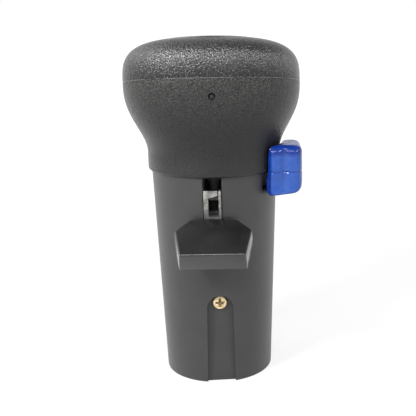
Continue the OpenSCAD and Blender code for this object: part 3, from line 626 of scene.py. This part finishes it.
print("head rule:", len(HEAD), "inputs")

# %% [markdown]
# On the lower sheet a cosine makes the swell from the round collar to the widest
# level, and the corners get squarer as it grows. The slope sets in with the swell, so
# the lip stays level.

# %% Lower sheet
def girth(half, swell):
    """Half the head's size at a level, between the collar and the widest."""
    return size["Collar Radius"] + (size[half] - size["Collar Radius"]) * swell


mesh, across, up = grid_sheet()
turn = across * (2 * math.pi)
level = size["Lip"] + (size["Widest"] - size["Lip"]) * up
fall = ((size["Widest"] - level) / (size["Widest"] - size["Flare From"])).do("MINIMUM", 1.0)
swell = (fall.do("MAXIMUM", 0.0) ** size["Flare Skew"] * math.pi).do("COSINE") * 0.5 + 0.5
square = (((size["Plan Power"] - 2.0) * swell + 2.0) / 2.0) ** -1.0
x = girth("Half Width", swell) * turn.do("COSINE").signed_power(square)
y = girth("Half Depth", swell) * turn.do("SINE").signed_power(square)
lean = (size["Slope"].do("ARCTANGENT") * swell).do("TANGENT")
lower = put(mesh, x, y, level - y * lean)
print("lower sheet from", HEAD["Lip"], "to", HEAD["Widest"], "mm")

# %% [markdown]
# The upper sheet blends from the widest outline to the plate's circle, and its height
# is that of a rounded crown over the same plan. The rows bunch up near the rim, where
# the crown bends most, and the first row stays flat on the rim. The two sheets are
# then welded where they meet.

# %% Upper sheet
BEND, FIRST_ROW, SHEET_WELD = 1.12, 0.004, 0.02

mesh, across, up = grid_sheet()
turn = across * (2 * math.pi)
square = (size["Plan Power"] ** -1.0) * 2.0
close = size["Crown Power"] ** -1.0 * 2.0
reach = (up * BEND).do("COSINE").do("MAXIMUM", 0.0) ** close
inward = reach.under(1.0) / (1 - math.cos(BEND) ** (2 / HEAD["Crown Power"]))
edge_x = size["Half Width"] * turn.do("COSINE").signed_power(square)
edge_y = size["Half Depth"] * turn.do("SINE").signed_power(square)
x = edge_x + (size["Plate Radius"] * turn.do("COSINE") - edge_x) * inward
y = edge_y + (size["Plate Radius"] * math.cos(HEAD_TILT) * turn.do("SINE") - edge_y) * inward
share = (x / size["Half Width"]).do("ABSOLUTE") ** size["Plan Power"]
share = share + (y / size["Half Depth"]).do("ABSOLUTE") ** size["Plan Power"]
share = (share ** (size["Plan Power"] ** -1.0)).do("MINIMUM", 1.0)
rise = (share ** size["Crown Power"]).under(1.0).do("MAXIMUM", 0.0)
rise = rise ** (size["Crown Power"] ** -1.0) * up.do("GREATER_THAN", FIRST_ROW)
crown = size["Widest"] + (size["Crown"] - size["Widest"]) * rise
upper = put(mesh, x, y, crown - y * size["Slope"])

both = tree.nodes.new("GeometryNodeJoinGeometry")
tree.links.new(lower, both.inputs[0])
tree.links.new(upper, both.inputs[0])
weld = tree.nodes.new("GeometryNodeMergeByDistance")
weld.inputs["Distance"].default_value = SHEET_WELD * MM
tree.links.new(both.outputs[0], weld.inputs["Geometry"])
end_rule(tree, weld.outputs[0], given.outputs["Finish"], end)
head = grow("grip_head_grained", tree, HEAD)
print("head sheets:", len(head.data.polygons), "faces")

# %% [markdown]
# The two open ends are closed with listed rings. At the bottom the lip rounds inwards, and the
# hollow goes up to the ceiling inside. At the top the seat of the pattern plate is a
# shallow step. Each ring below is a radius and a height.

# %% Lip, hollow and plate seat
HOLLOW = [(28.0, 69.5), (28.0, 75.0), (25.5, 75.2), (25.5, 114.0), (12.0, 114.0)]
PLATE_SEAT = [(21.0, 122.2), (10.0, 122.2)]
LIP_ROUND, LIP_STEPS = 1.0, np.linspace(0.2, math.pi / 2, 8)


def open_loops(bm):
    """The rings of points at a mesh's two open ends, each in order round the axis."""
    loose = {v for e in bm.edges if e.is_boundary for v in e.verts}
    loose = sorted(loose, key=lambda v: math.atan2(v.co.y, v.co.x))
    middle = sum(v.co.z for v in loose) / len(loose)
    return [v for v in loose if v.co.z < middle], [v for v in loose if v.co.z >= middle]


def add_rings(bm, ring, rings, slope=0.0):
    """Walls from a ring of points through rings of (radius, height) to the axis."""
    for radius, height in rings:
        new = []
        for v in ring:
            way = math.atan2(v.co.y, v.co.x)
            spot = Vector((radius * math.cos(way), radius * math.sin(way), 0)) * MM
            spot.z = height * MM - spot.y * slope
            new.append(bm.verts.new(spot))
        for i in range(len(ring)):
            j = (i + 1) % len(ring)
            bm.faces.new((ring[i], ring[j], new[j], new[i]))
        ring = new
    tip = bm.verts.new((0, 0, rings[-1][1] * MM))
    for i in range(len(ring)):
        bm.faces.new((ring[i], ring[(i + 1) % len(ring)], tip))


bm = bmesh.new()
bm.from_mesh(head.data)
bottom, top = open_loops(bm)
lip = [(HEAD["Collar Radius"] - LIP_ROUND * (1 - math.cos(a)), HEAD["Lip"] - LIP_ROUND * math.sin(a))
       for a in LIP_STEPS]
add_rings(bm, bottom, lip + HOLLOW)
add_rings(bm, top, PLATE_SEAT, HEAD["Slope"])
bmesh.ops.recalc_face_normals(bm, faces=bm.faces)
bm.to_mesh(head.data)
bm.free()
print("head closed:", len(head.data.polygons), "faces")

# %% [markdown]
# Inside, two bosses hang from the ceiling, and a screw goes down through each. Bosses
# and holes are round rods, joined to the head or cut out of it by a Boolean modifier.

# %% Bosses and screw holes
BOSS_X, BOSS_Y, BOSS_FOOT, BOSS_ROOT, BOSS_RADIUS = 11.5, 12.0, 80.0, 115.0, 4.8
HOLE_RADIUS, HOLE_TOP = 2.2, 125.0
SEAT_RADIUS, SEAT_FOOT, SEAT_TOP = 4.0, 106.0, 130.0


def rods(piece, operation, radius, foot, top):
    """Joins a pair of upright rods to a piece, or cuts them out of it."""
    bm = bmesh.new()
    for side in (-1, 1):
        spot = Matrix.Translation(Vector((side * BOSS_X, BOSS_Y, (foot + top) / 2)) * MM)
        bmesh.ops.create_cone(bm, cap_ends=True, segments=64, radius1=radius * MM,
                              radius2=radius * MM, depth=(top - foot) * MM, matrix=spot)
    mesh = bpy.data.meshes.new("rods")
    bm.to_mesh(mesh)
    bm.free()
    tool = mesh_piece("rods", mesh)
    change = piece.modifiers.new("rods", "BOOLEAN")
    change.operation, change.object, change.solver = operation, tool, "EXACT"
    settle(piece)
    bpy.data.objects.remove(tool)


rods(head, "UNION", BOSS_RADIUS, BOSS_FOOT, BOSS_ROOT)
rods(head, "DIFFERENCE", HOLE_RADIUS, BOSS_FOOT - 1, HOLE_TOP)
rods(head, "DIFFERENCE", SEAT_RADIUS, SEAT_FOOT, SEAT_TOP)
print("bosses added:", len(head.data.polygons), "faces")

# %% [markdown]
# The pit of the mould's gate is real, too. The faces round it are cut finer first, so
# that its wall is smooth, and the points inside it are then moved back.

# %% Gate pit
PIT_RADIUS, PIT_DEPTH, PIT_WALL, PIT_ROUND = 1.5, 0.9, 0.3, 1.8
PIT_BEHIND, SHARP = -30 * MM, math.radians(35)


def pit_gap(v):
    """Distance from the pit's middle, 1 at its rim; what lies behind counts as outside."""
    if v.co.y > PIT_BEHIND:
        return PIT_ROUND
    return math.hypot(v.co.x / MM - DIMPLE[0], v.co.z / MM - DIMPLE[2]) / PIT_RADIUS


def sink_pit(piece):
    """Presses a flat-bottomed pit into the front of a piece."""
    bm = bmesh.new()
    bm.from_mesh(piece.data)
    near = [e for e in bm.edges if all(pit_gap(v) < PIT_ROUND for v in e.verts)]
    bmesh.ops.subdivide_edges(bm, edges=near, cuts=6, use_grid_fill=True)
    for v in bm.verts:
        wall = min(1.0, max(0.0, (1 - pit_gap(v)) / PIT_WALL))
        v.co.y += PIT_DEPTH * MM * wall * wall * (3 - 2 * wall)
    for face in bm.faces:
        face.smooth = True
    bm.to_mesh(piece.data)
    bm.free()


sink_pit(head)
head.data.set_sharp_from_angle(angle=SHARP)
adopt(head, "base", "grained_black", "grip_head")

# %% [markdown]
# Moulded and pressed pieces have small radii on their edges, and those radii catch
# the light as thin bright lines. The solids have sharp edges, so a copy of the mesh
# is welded, its flat faces are joined up, and a bevel rounds what is left.

# %% Round the edges of a copied solid
WELD, FLAT, EDGE = 0.004 * MM, math.radians(0.4), math.radians(28)


def softened(name, source, radius_mm, steps, clamp=True):
    """A copy of a solid with its sharp edges rounded."""
    mesh = nodes[source].data.copy()
    mesh.name = name
    bm = bmesh.new()
    bm.from_mesh(mesh)
    bmesh.ops.remove_doubles(bm, verts=bm.verts, dist=WELD)
    bmesh.ops.dissolve_limit(bm, angle_limit=FLAT, verts=bm.verts, edges=bm.edges)
    for face in bm.faces:
        face.smooth = True
    bm.to_mesh(mesh)
    bm.free()
    piece = mesh_piece(name, mesh)
    bevel = piece.modifiers.new("edge", "BEVEL")
    bevel.width = radius_mm * MM
    bevel.segments = steps
    bevel.limit_method = "ANGLE"
    bevel.angle_limit = EDGE
    bevel.harden_normals = True
    bevel.use_clamp_overlap = clamp
    return settle(piece)


paddle = softened("range_paddle_moulded", "range_paddle", 0.8, 5, clamp=False)
adopt(paddle, "range_lever", "paddle_black", "range_paddle")
stirrup = softened("range_stirrup_pressed", "range_stirrup", 0.14, 2)
adopt(stirrup, "range_lever", "plated_steel", "range_stirrup")

# %% [markdown]
# The button is a soft, thumb-worn form. A copy of its solid is remeshed into small
# even squares and smoothed, which rounds every edge. Points that lie that close can
# then be moved one by one, as a sculptor would.

# %% Button blank
SQUARE = 0.27


def button_blank():
    bm = bmesh.new()
    bm.from_mesh(nodes["splitter_button"].data)
    bmesh.ops.remove_doubles(bm, verts=bm.verts, dist=WELD)
    mesh = bpy.data.meshes.new("splitter_button_moulded")
    bm.to_mesh(mesh)
    bm.free()
    piece = mesh_piece("splitter_button_moulded", mesh)
    remesh = piece.modifiers.new("squares", "REMESH")
    remesh.mode = "VOXEL"
    remesh.voxel_size = SQUARE * MM
    smooth = piece.modifiers.new("wear", "SMOOTH")
    smooth.factor = 0.5
    smooth.iterations = 150
    return settle(piece)


button = button_blank()
print("button blank:", len(button.data.polygons), "faces")

# %% [markdown]
# The front is crowned by up to a millimetre and rounds off towards its rims. Two
# shallow dishes show where the thumb pushes. The back runs on the round collar, so it
# has to stay where it is: a point moves less, the nearer it is to that way.

# %% Crown the front of the button
low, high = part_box("splitter_button")
VALLEY_X = 30.3
ROUND_LEFT, ROUND_RIGHT, ROUND_TOP, ROUND_FOOT, CROWN = 3.2, 1.6, 2.6, 1.5, 1.0
DISH_OUT, DISH_UP, DISH_DEPTH, DISH_WIDE, DISH_TALL = 3.6, 5.5, 0.5, 2.2, 3.2


def quarter_round(gap, radius):
    """How far a rounded edge has fallen back, at a gap in from its rim."""
    short = min(1.0, max(0.0, 1 - gap / radius))
    return radius * (1 - math.sqrt(1 - short ** 2))


def clear_way(piece):
    """Radius of the curved way behind a piece, for each half millimetre of height."""
    way = {}
    for v in piece.data.vertices:
        level = round(v.co.z / MM * 2)
        way[level] = min(way.get(level, 99.0), math.hypot(v.co.x, v.co.y) / MM)
    return way


def round_front(piece, way):
    """Crowns the front and lets it fall back near its edges; the back surface stays."""
    front = low.y / MM
    for v in piece.data.vertices:
        x, y, z = v.co / MM
        rims = ((x - low.x / MM, ROUND_LEFT), (high.x / MM - x, ROUND_RIGHT),
                (high.z / MM - z, ROUND_TOP), (z - low.z / MM, ROUND_FOOT))
        falls = [quarter_round(gap, radius) for gap, radius in rims]
        falls[0] = min(falls[0], CROWN)
        back = math.hypot(*falls) - CROWN
        for side in (-1, 1):
            across = (x - VALLEY_X - side * DISH_OUT) / DISH_WIDE
            upward = (z - low.z / MM - DISH_UP) / DISH_TALL
            back += DISH_DEPTH * math.exp(-across ** 2 - upward ** 2)
        rear = -math.sqrt(max(0.0, way[round(z * 2)] ** 2 - x ** 2))
        thick = max(0.5, rear - front)
        share = min(1.0, max(0.0, (rear - y) / thick))
        v.co.y += min(back, 0.6 * thick) * share * MM


round_front(button, clear_way(button))
print("button front crowned by", CROWN, "mm")

# %% [markdown]
# Two upright lobes with a valley between them give the thumb its grip, and a fine
# groove runs round the front at mid height. Both are pushed in square to the surface.

# %% Lobes and groove of the button
LOBE_DEPTH, LOBE_CAP, LOBE_POWER = 1.3, 3.6, 2.2
GROOVE_DEPTH, GROOVE_HALF = 0.25, 0.3
groove_z = low.z + GROOVE_AT * (high.z - low.z)


def lobes(v):
    """How far a point falls back: least on the lobes, most in the valley and at the rims."""
    x, z = v.co.x / MM, v.co.z / MM
    side = (VALLEY_X - low.x / MM) if x < VALLEY_X else (high.x / MM - VALLEY_X)
    across = min(1.0, abs(x - VALLEY_X) / side)
    cap = min(1.0, max(0.0, 1 - (high.z / MM - z) / LOBE_CAP))
    lobe = (1 - abs(2 * across - 1) ** LOBE_POWER) * (1 - cap ** 2)
    return LOBE_DEPTH * (1 - lobe) * max(0.0, -v.normal.y) ** 1.5


def groove(v):
    """Depth of the groove, on the front and the outer side only."""
    depth = GROOVE_DEPTH * math.exp(-(((v.co.z - groove_z) / MM / GROOVE_HALF) ** 2))
    return depth * min(1.0, max(0.0, -v.normal.y, v.normal.x) * 1.5)


def push(piece, amount):
    """Moves each point inwards along its normal."""
    bm = bmesh.new()
    bm.from_mesh(piece.data)
    bm.normal_update()
    moves = [(v, v.normal * -amount(v) * MM) for v in bm.verts]
    for v, move in moves:
        v.co += move
    for face in bm.faces:
        face.smooth = True
    bm.to_mesh(piece.data)
    bm.free()


push(button, lobes)
smooth = button.modifiers.new("soften", "SMOOTH")
smooth.factor, smooth.iterations = 0.5, 10
settle(button)
push(button, groove)
adopt(button, "splitter", "button_blue", "splitter_button")

# %% [markdown]
# Two pan screws hold the skirt, one in each channel. Each has a cross for the driver.
# Its depth is a formula: full inside two crossing arms, falling steeply at their ends
# and sides, with a pit in the middle.

# %% Cross of a screw
ARM_LONG, ARM_HALF, CROSS_DEPTH, CROSS_PIT, CROSS_MIDDLE = 2.0, 0.58, 1.0, 0.5, 1.15


def within(distance, reach):
    """1 inside a reach, falling steeply to 0 at its end."""
    return max(0.0, 1 - (abs(distance) / reach) ** 6)


def cross_depth(x, y):
    """Depth of the driver's cross at a point of the screw's face."""
    arm = within(x, ARM_LONG) * within(y, ARM_HALF)
    other = within(y, ARM_LONG) * within(x, ARM_HALF)
    pit = max(0.0, 1 - math.hypot(x, y) / CROSS_MIDDLE)
    return CROSS_DEPTH * max(arm, other) + CROSS_PIT * pit


print("cross:", cross_depth(0, 0), "mm deep")

# %% [markdown]
# One screw is a fine disc whose height follows the dome and dips in the cross, with
# the rim and the shank behind it as further rings.

# %% One skirt screw
SCREW_HEAD, SCREW_DOME, SCREW_SHANK, SCREW_REACH = 3.1, 2.1, 1.75, 9.5
SCREW_RIM = [(0.985 * SCREW_HEAD, 1.2), (SCREW_HEAD, 0.7), (SCREW_HEAD, 0.15),
             (0.97 * SCREW_HEAD, 0.0), (SCREW_SHANK, 0.0), (SCREW_SHANK, -SCREW_REACH)]
FACE_RINGS, FACE_SHARE, DOME_FALL, DOME_POWER = 30, 0.94, 0.28, 2.4


def turns(count):
    """Equal steps of one whole turn."""
    return np.linspace(0, 2 * math.pi, count, endpoint=False)


def screw_mesh(around=96):
    bm = bmesh.new()
    rings = []
    for k in range(1, FACE_RINGS + 1):
        r = FACE_SHARE * SCREW_HEAD * k / FACE_RINGS
        top = SCREW_DOME * (1 - DOME_FALL * (r / SCREW_HEAD) ** DOME_POWER)
        ring = [(r * math.cos(a), r * math.sin(a)) for a in turns(around)]
        rings.append([bm.verts.new((x, y, top - cross_depth(x, y))) for x, y in ring])
    for r, z in SCREW_RIM:
        rings.append([bm.verts.new((r * math.cos(a), r * math.sin(a), z)) for a in turns(around)])
    centre = bm.verts.new((0, 0, SCREW_DOME - cross_depth(0, 0)))
    tip = bm.verts.new((0, 0, -SCREW_REACH))
    for i in range(around):
        j = (i + 1) % around
        bm.faces.new((centre, rings[0][i], rings[0][j]))
        bm.faces.new((tip, rings[-1][j], rings[-1][i]))
        for inner, outer in zip(rings, rings[1:]):
            bm.faces.new((inner[i], outer[i], outer[j], inner[j]))
    bmesh.ops.recalc_face_normals(bm, faces=bm.faces)
    for face in bm.faces:
        face.smooth = True
    mesh = bpy.data.meshes.new("one_screw")
    bm.to_mesh(mesh)
    bm.free()
    return mesh


mesh = screw_mesh()
print("one screw:", len(mesh.polygons), "faces")

# %% [markdown]
# The screws sit half a turn apart, and the front channel is a few degrees off the
# middle. Two copies could be placed by hand, but a rule with a count and a turn says
# it better: Geometry Nodes set the screw on two points and spin each by its number.

# %% Set the two screws
CHANNEL_TURN = math.radians(4.5)
SCREW_SEAT, SCREW_LEVEL = 21.55, 13.2
lay = Matrix.Translation(Vector((0, -SCREW_SEAT, SCREW_LEVEL))) @ Matrix.Rotation(math.pi / 2, 4, "X")
mesh.transform(Matrix.Scale(MM, 4) @ lay)
one_screw = mesh_piece("one_screw", mesh)
SCREWS = {"Screw": one_screw, "Count": 2, "Turn": CHANNEL_TURN,
          "Finish": finishes["yellow_plated"]}
tree, given, end = new_rule("screw_rule", SCREWS)
spots = tree.nodes.new("GeometryNodeMeshLine")
tree.links.new(given.outputs["Count"], spots.inputs["Count"])
spots.inputs["Offset"].default_value = (0, 0, 0)
source = tree.nodes.new("GeometryNodeObjectInfo")
tree.links.new(given.outputs["Screw"], source.inputs["Object"])
order = Wire(tree, tree.nodes.new("GeometryNodeInputIndex").outputs[0])
spin = tree.nodes.new("ShaderNodeCombineXYZ")
angle = order * math.pi + Wire(tree, given.outputs["Turn"])
tree.links.new(angle.socket, spin.inputs["Z"])
copies = tree.nodes.new("GeometryNodeInstanceOnPoints")
tree.links.new(spots.outputs["Mesh"], copies.inputs["Points"])
tree.links.new(source.outputs["Geometry"], copies.inputs["Instance"])
tree.links.new(spin.outputs[0], copies.inputs["Rotation"])
end_rule(tree, copies.outputs[0], given.outputs["Finish"], end)
screws = grow("skirt_screws_turned", tree, SCREWS)
bpy.data.objects.remove(one_screw)
adopt(screws, "base", "yellow_plated", "skirt_screws")

# %% [markdown]
# The bush that screws on the gear lever is brass. Its thread is a groove that climbs
# one pitch in each turn, so the inside is a sheet of points whose radius swings with
# height and angle together.

# %% Threaded bush
BUSH_BORE, BUSH_OUTER, BUSH_LENGTH, BUSH_STEP, BUSH_LEAD = 5.36, 9.4, 20.0, 0.5, 0.9
THREAD_DEPTH, THREAD_PITCH, THREAD_FLANK, THREAD_CREST = 0.9, 1.954, 1.4, 0.2
RUN_IN, RUN_IN_LENGTH = 0.6, 0.8
PITCH_STEPS, RING_WIDTH = 8, 1.0


def thread_radius(z, a):
    """Radius of the bore at a height and an angle."""
    wave = abs(((z / THREAD_PITCH - a / (2 * math.pi)) % 1.0) * 2 - 1)
    flank = min(1.0, max(0.0, wave * THREAD_FLANK - THREAD_CREST))
    cut = THREAD_DEPTH * flank * min(1.0, (z + RUN_IN) / RUN_IN_LENGTH)
    return BUSH_BORE + max(cut, max(0.0, BUSH_LEAD - z))


def outside():
    """Radius and height of the rings outside, from the top down, with two grooves."""
    inner = BUSH_OUTER - BUSH_STEP
    rings = [(inner, BUSH_LENGTH), (BUSH_OUTER, BUSH_LENGTH - BUSH_STEP)]
    for third in (2, 1):
        z = BUSH_LENGTH * third / 3
        rings += [(BUSH_OUTER, z + RING_WIDTH), (inner, z + RING_WIDTH), (inner, z), (BUSH_OUTER, z)]
    return rings + [(BUSH_OUTER, BUSH_STEP), (inner, 0.0)]


def threaded_bush(around=72):
    bm = bmesh.new()
    heights = np.linspace(0, BUSH_LENGTH, int(BUSH_LENGTH / THREAD_PITCH * PITCH_STEPS) + 1)
    levels = [([thread_radius(z, a) for a in turns(around)], z) for z in heights]
    levels += [([r] * around, z) for r, z in outside()]
    rings = []
    for radii, z in levels:
        rings.append([bm.verts.new((r * math.cos(a) * MM, r * math.sin(a) * MM, z * MM))
                      for r, a in zip(radii, turns(around))])
    for one, two in zip(rings, rings[1:] + rings[:1]):  # the last ring meets the first
        for i in range(around):
            j = (i + 1) % around
            bm.faces.new((one[i], one[j], two[j], two[i]))
    bmesh.ops.recalc_face_normals(bm, faces=bm.faces)
    mesh = bpy.data.meshes.new("lever_bush_threaded")
    bm.to_mesh(mesh)
    bm.free()
    return mesh_piece("lever_bush_threaded", mesh)


adopt(threaded_bush(), "base", "brass", "lever_insert")

# %% [markdown]
# The studio is a white sheet under soft light. A sheet lit until it is white would
# also wash out the black plastic, so it glows only for rays that come from the camera,
# or by way of shiny or clear surfaces. Near the knob it glows a little less, which
# leaves room for a faint shadow. In the plastic its sides mirror brighter than its middle.

# %% White sheet
FLOOR = cad_box[0][2]
SHEET_HALF, SHEET_NEAR, SHEET_FAR, SHEET_GLOW = 6, 0.15, 0.8, 0.8
MIDDLE_TO, SIDES_FROM, MIDDLE_GLOW, SIDES_GLOW = 0.05, 0.35, 0.72, 1.05
SHEET_GREY, SEEN_GREY = (0.5, 0.5, 0.5), (0.12, 0.12, 0.12)


def seen_or_mirrored(tree):
    """1 for rays from the camera, and for those that shiny or clear surfaces pass on."""
    path = tree.nodes.new("ShaderNodeLightPath")
    seen = sums(tree, "MAXIMUM", path.outputs["Is Camera Ray"], path.outputs["Is Glossy Ray"])
    return sums(tree, "MAXIMUM", seen, path.outputs["Is Transmission Ray"])


sheet = bpy.data.meshes.new("floor")
corners = [(x * SHEET_HALF, y * SHEET_HALF, FLOOR) for x, y in ((-1, -1), (1, -1), (1, 1), (-1, 1))]
sheet.from_pydata(corners, [], [(0, 1, 2, 3)])
floor = mesh_piece("floor", sheet)
finish, tree, shader = start_finish("white_sheet", SHEET_GREY, 0.9)
direct = tree.nodes.new("ShaderNodeLightPath").outputs["Is Camera Ray"]
spot = tree.nodes.new("ShaderNodeTexCoord").outputs["Object"]
away = tree.nodes.new("ShaderNodeVectorMath")
away.operation = "LENGTH"
tree.links.new(spot, away.inputs[0])
lit = spread(tree, away.outputs["Value"], SHEET_NEAR, SHEET_FAR, SHEET_GLOW, 1.0)
across = tree.nodes.new("ShaderNodeSeparateXYZ")
tree.links.new(spot, across.inputs[0])
sideways = sums(tree, "ABSOLUTE", across.outputs["X"])
sides = spread(tree, sideways, MIDDLE_TO, SIDES_FROM, MIDDLE_GLOW, SIDES_GLOW)
level = sums(tree, "MULTIPLY", seen_or_mirrored(tree), sides)
level = sums(tree, "MULTIPLY_ADD", direct, sums(tree, "SUBTRACT", lit, sides), level)
glow = tree.nodes.new("ShaderNodeEmission")
tree.links.new(level, glow.inputs["Strength"])
tint(tree, shader, direct, SHEET_GREY, SEEN_GREY)
both = tree.nodes.new("ShaderNodeAddShader")
tree.links.new(shader.outputs[0], both.inputs[0])
tree.links.new(glow.outputs[0], both.inputs[1])
tree.links.new(both.outputs[0], tree.nodes["Material Output"].inputs["Surface"])
sheet.materials.append(finish)
print("sheet at", round(FLOOR / MM, 1), "mm")

# %% [markdown]
# The world fills the shadows. It is white to the camera and in mirrored rays, weaker
# as a light, and darker overhead, as a ceiling is.

# %% World
WORLD_LIGHT, OVERHEAD_FROM, OVERHEAD_FULL, OVERHEAD = 0.45, 0.2, 0.9, 0.45

world = bpy.data.worlds.new("studio")
scene.world = world
world.use_nodes = True
tree = world.node_tree
level = sums(tree, "MULTIPLY_ADD", seen_or_mirrored(tree), 1.0 - WORLD_LIGHT, WORLD_LIGHT)
way = tree.nodes.new("ShaderNodeSeparateXYZ")
tree.links.new(tree.nodes.new("ShaderNodeTexCoord").outputs["Generated"], way.inputs[0])
ceiling = spread(tree, way.outputs["Z"], OVERHEAD_FROM, OVERHEAD_FULL, 1.0, OVERHEAD)
level = sums(tree, "MULTIPLY", level, ceiling)
direct = tree.nodes.new("ShaderNodeLightPath").outputs["Is Camera Ray"]
level = sums(tree, "MAXIMUM", level, direct)
tree.links.new(level, tree.nodes["Background"].inputs["Strength"])
tree.nodes["Background"].inputs["Color"].default_value = (1, 1, 1, 1)
print("world:", world.name)

# %% [markdown]
# Five soft lamps do the rest. Two at the sides and a little behind draw pale edges on
# the black plastic. Three in front give the streaks on the crown's grain and the
# bright line along the paddle's edge. Each is listed with its place in metres, its
# power in watts and its size.

# %% Lamps
AIM = Vector((0, 0, 0.06))
LAMPS = {"left_edge": ((-0.68, 0.15, 0.7), 6.0, 0.9), "right_edge": ((0.8, 0.2, 0.35), 1.5, 0.4),
         "front_left": ((-0.6, -0.68, 0.6), 13.0, 0.2), "front_right": ((0.6, -0.6, 0.65), 5.0, 0.3),
         "front_middle": ((-0.05, -0.78, 0.88), 6.0, 0.3)}
for name, (spot, watts, width) in LAMPS.items():
    lamp = bpy.data.lights.new(name, "AREA")
    lamp.energy = watts
    lamp.size = width
    holder = bpy.data.objects.new(name, lamp)
    scene.collection.objects.link(holder)
    holder.location = spot
    holder.rotation_euler = (AIM - Vector(spot)).to_track_quat("-Z", "Y").to_euler()
scene.view_settings.view_transform = "Standard"
print("lamps:", ", ".join(LAMPS))
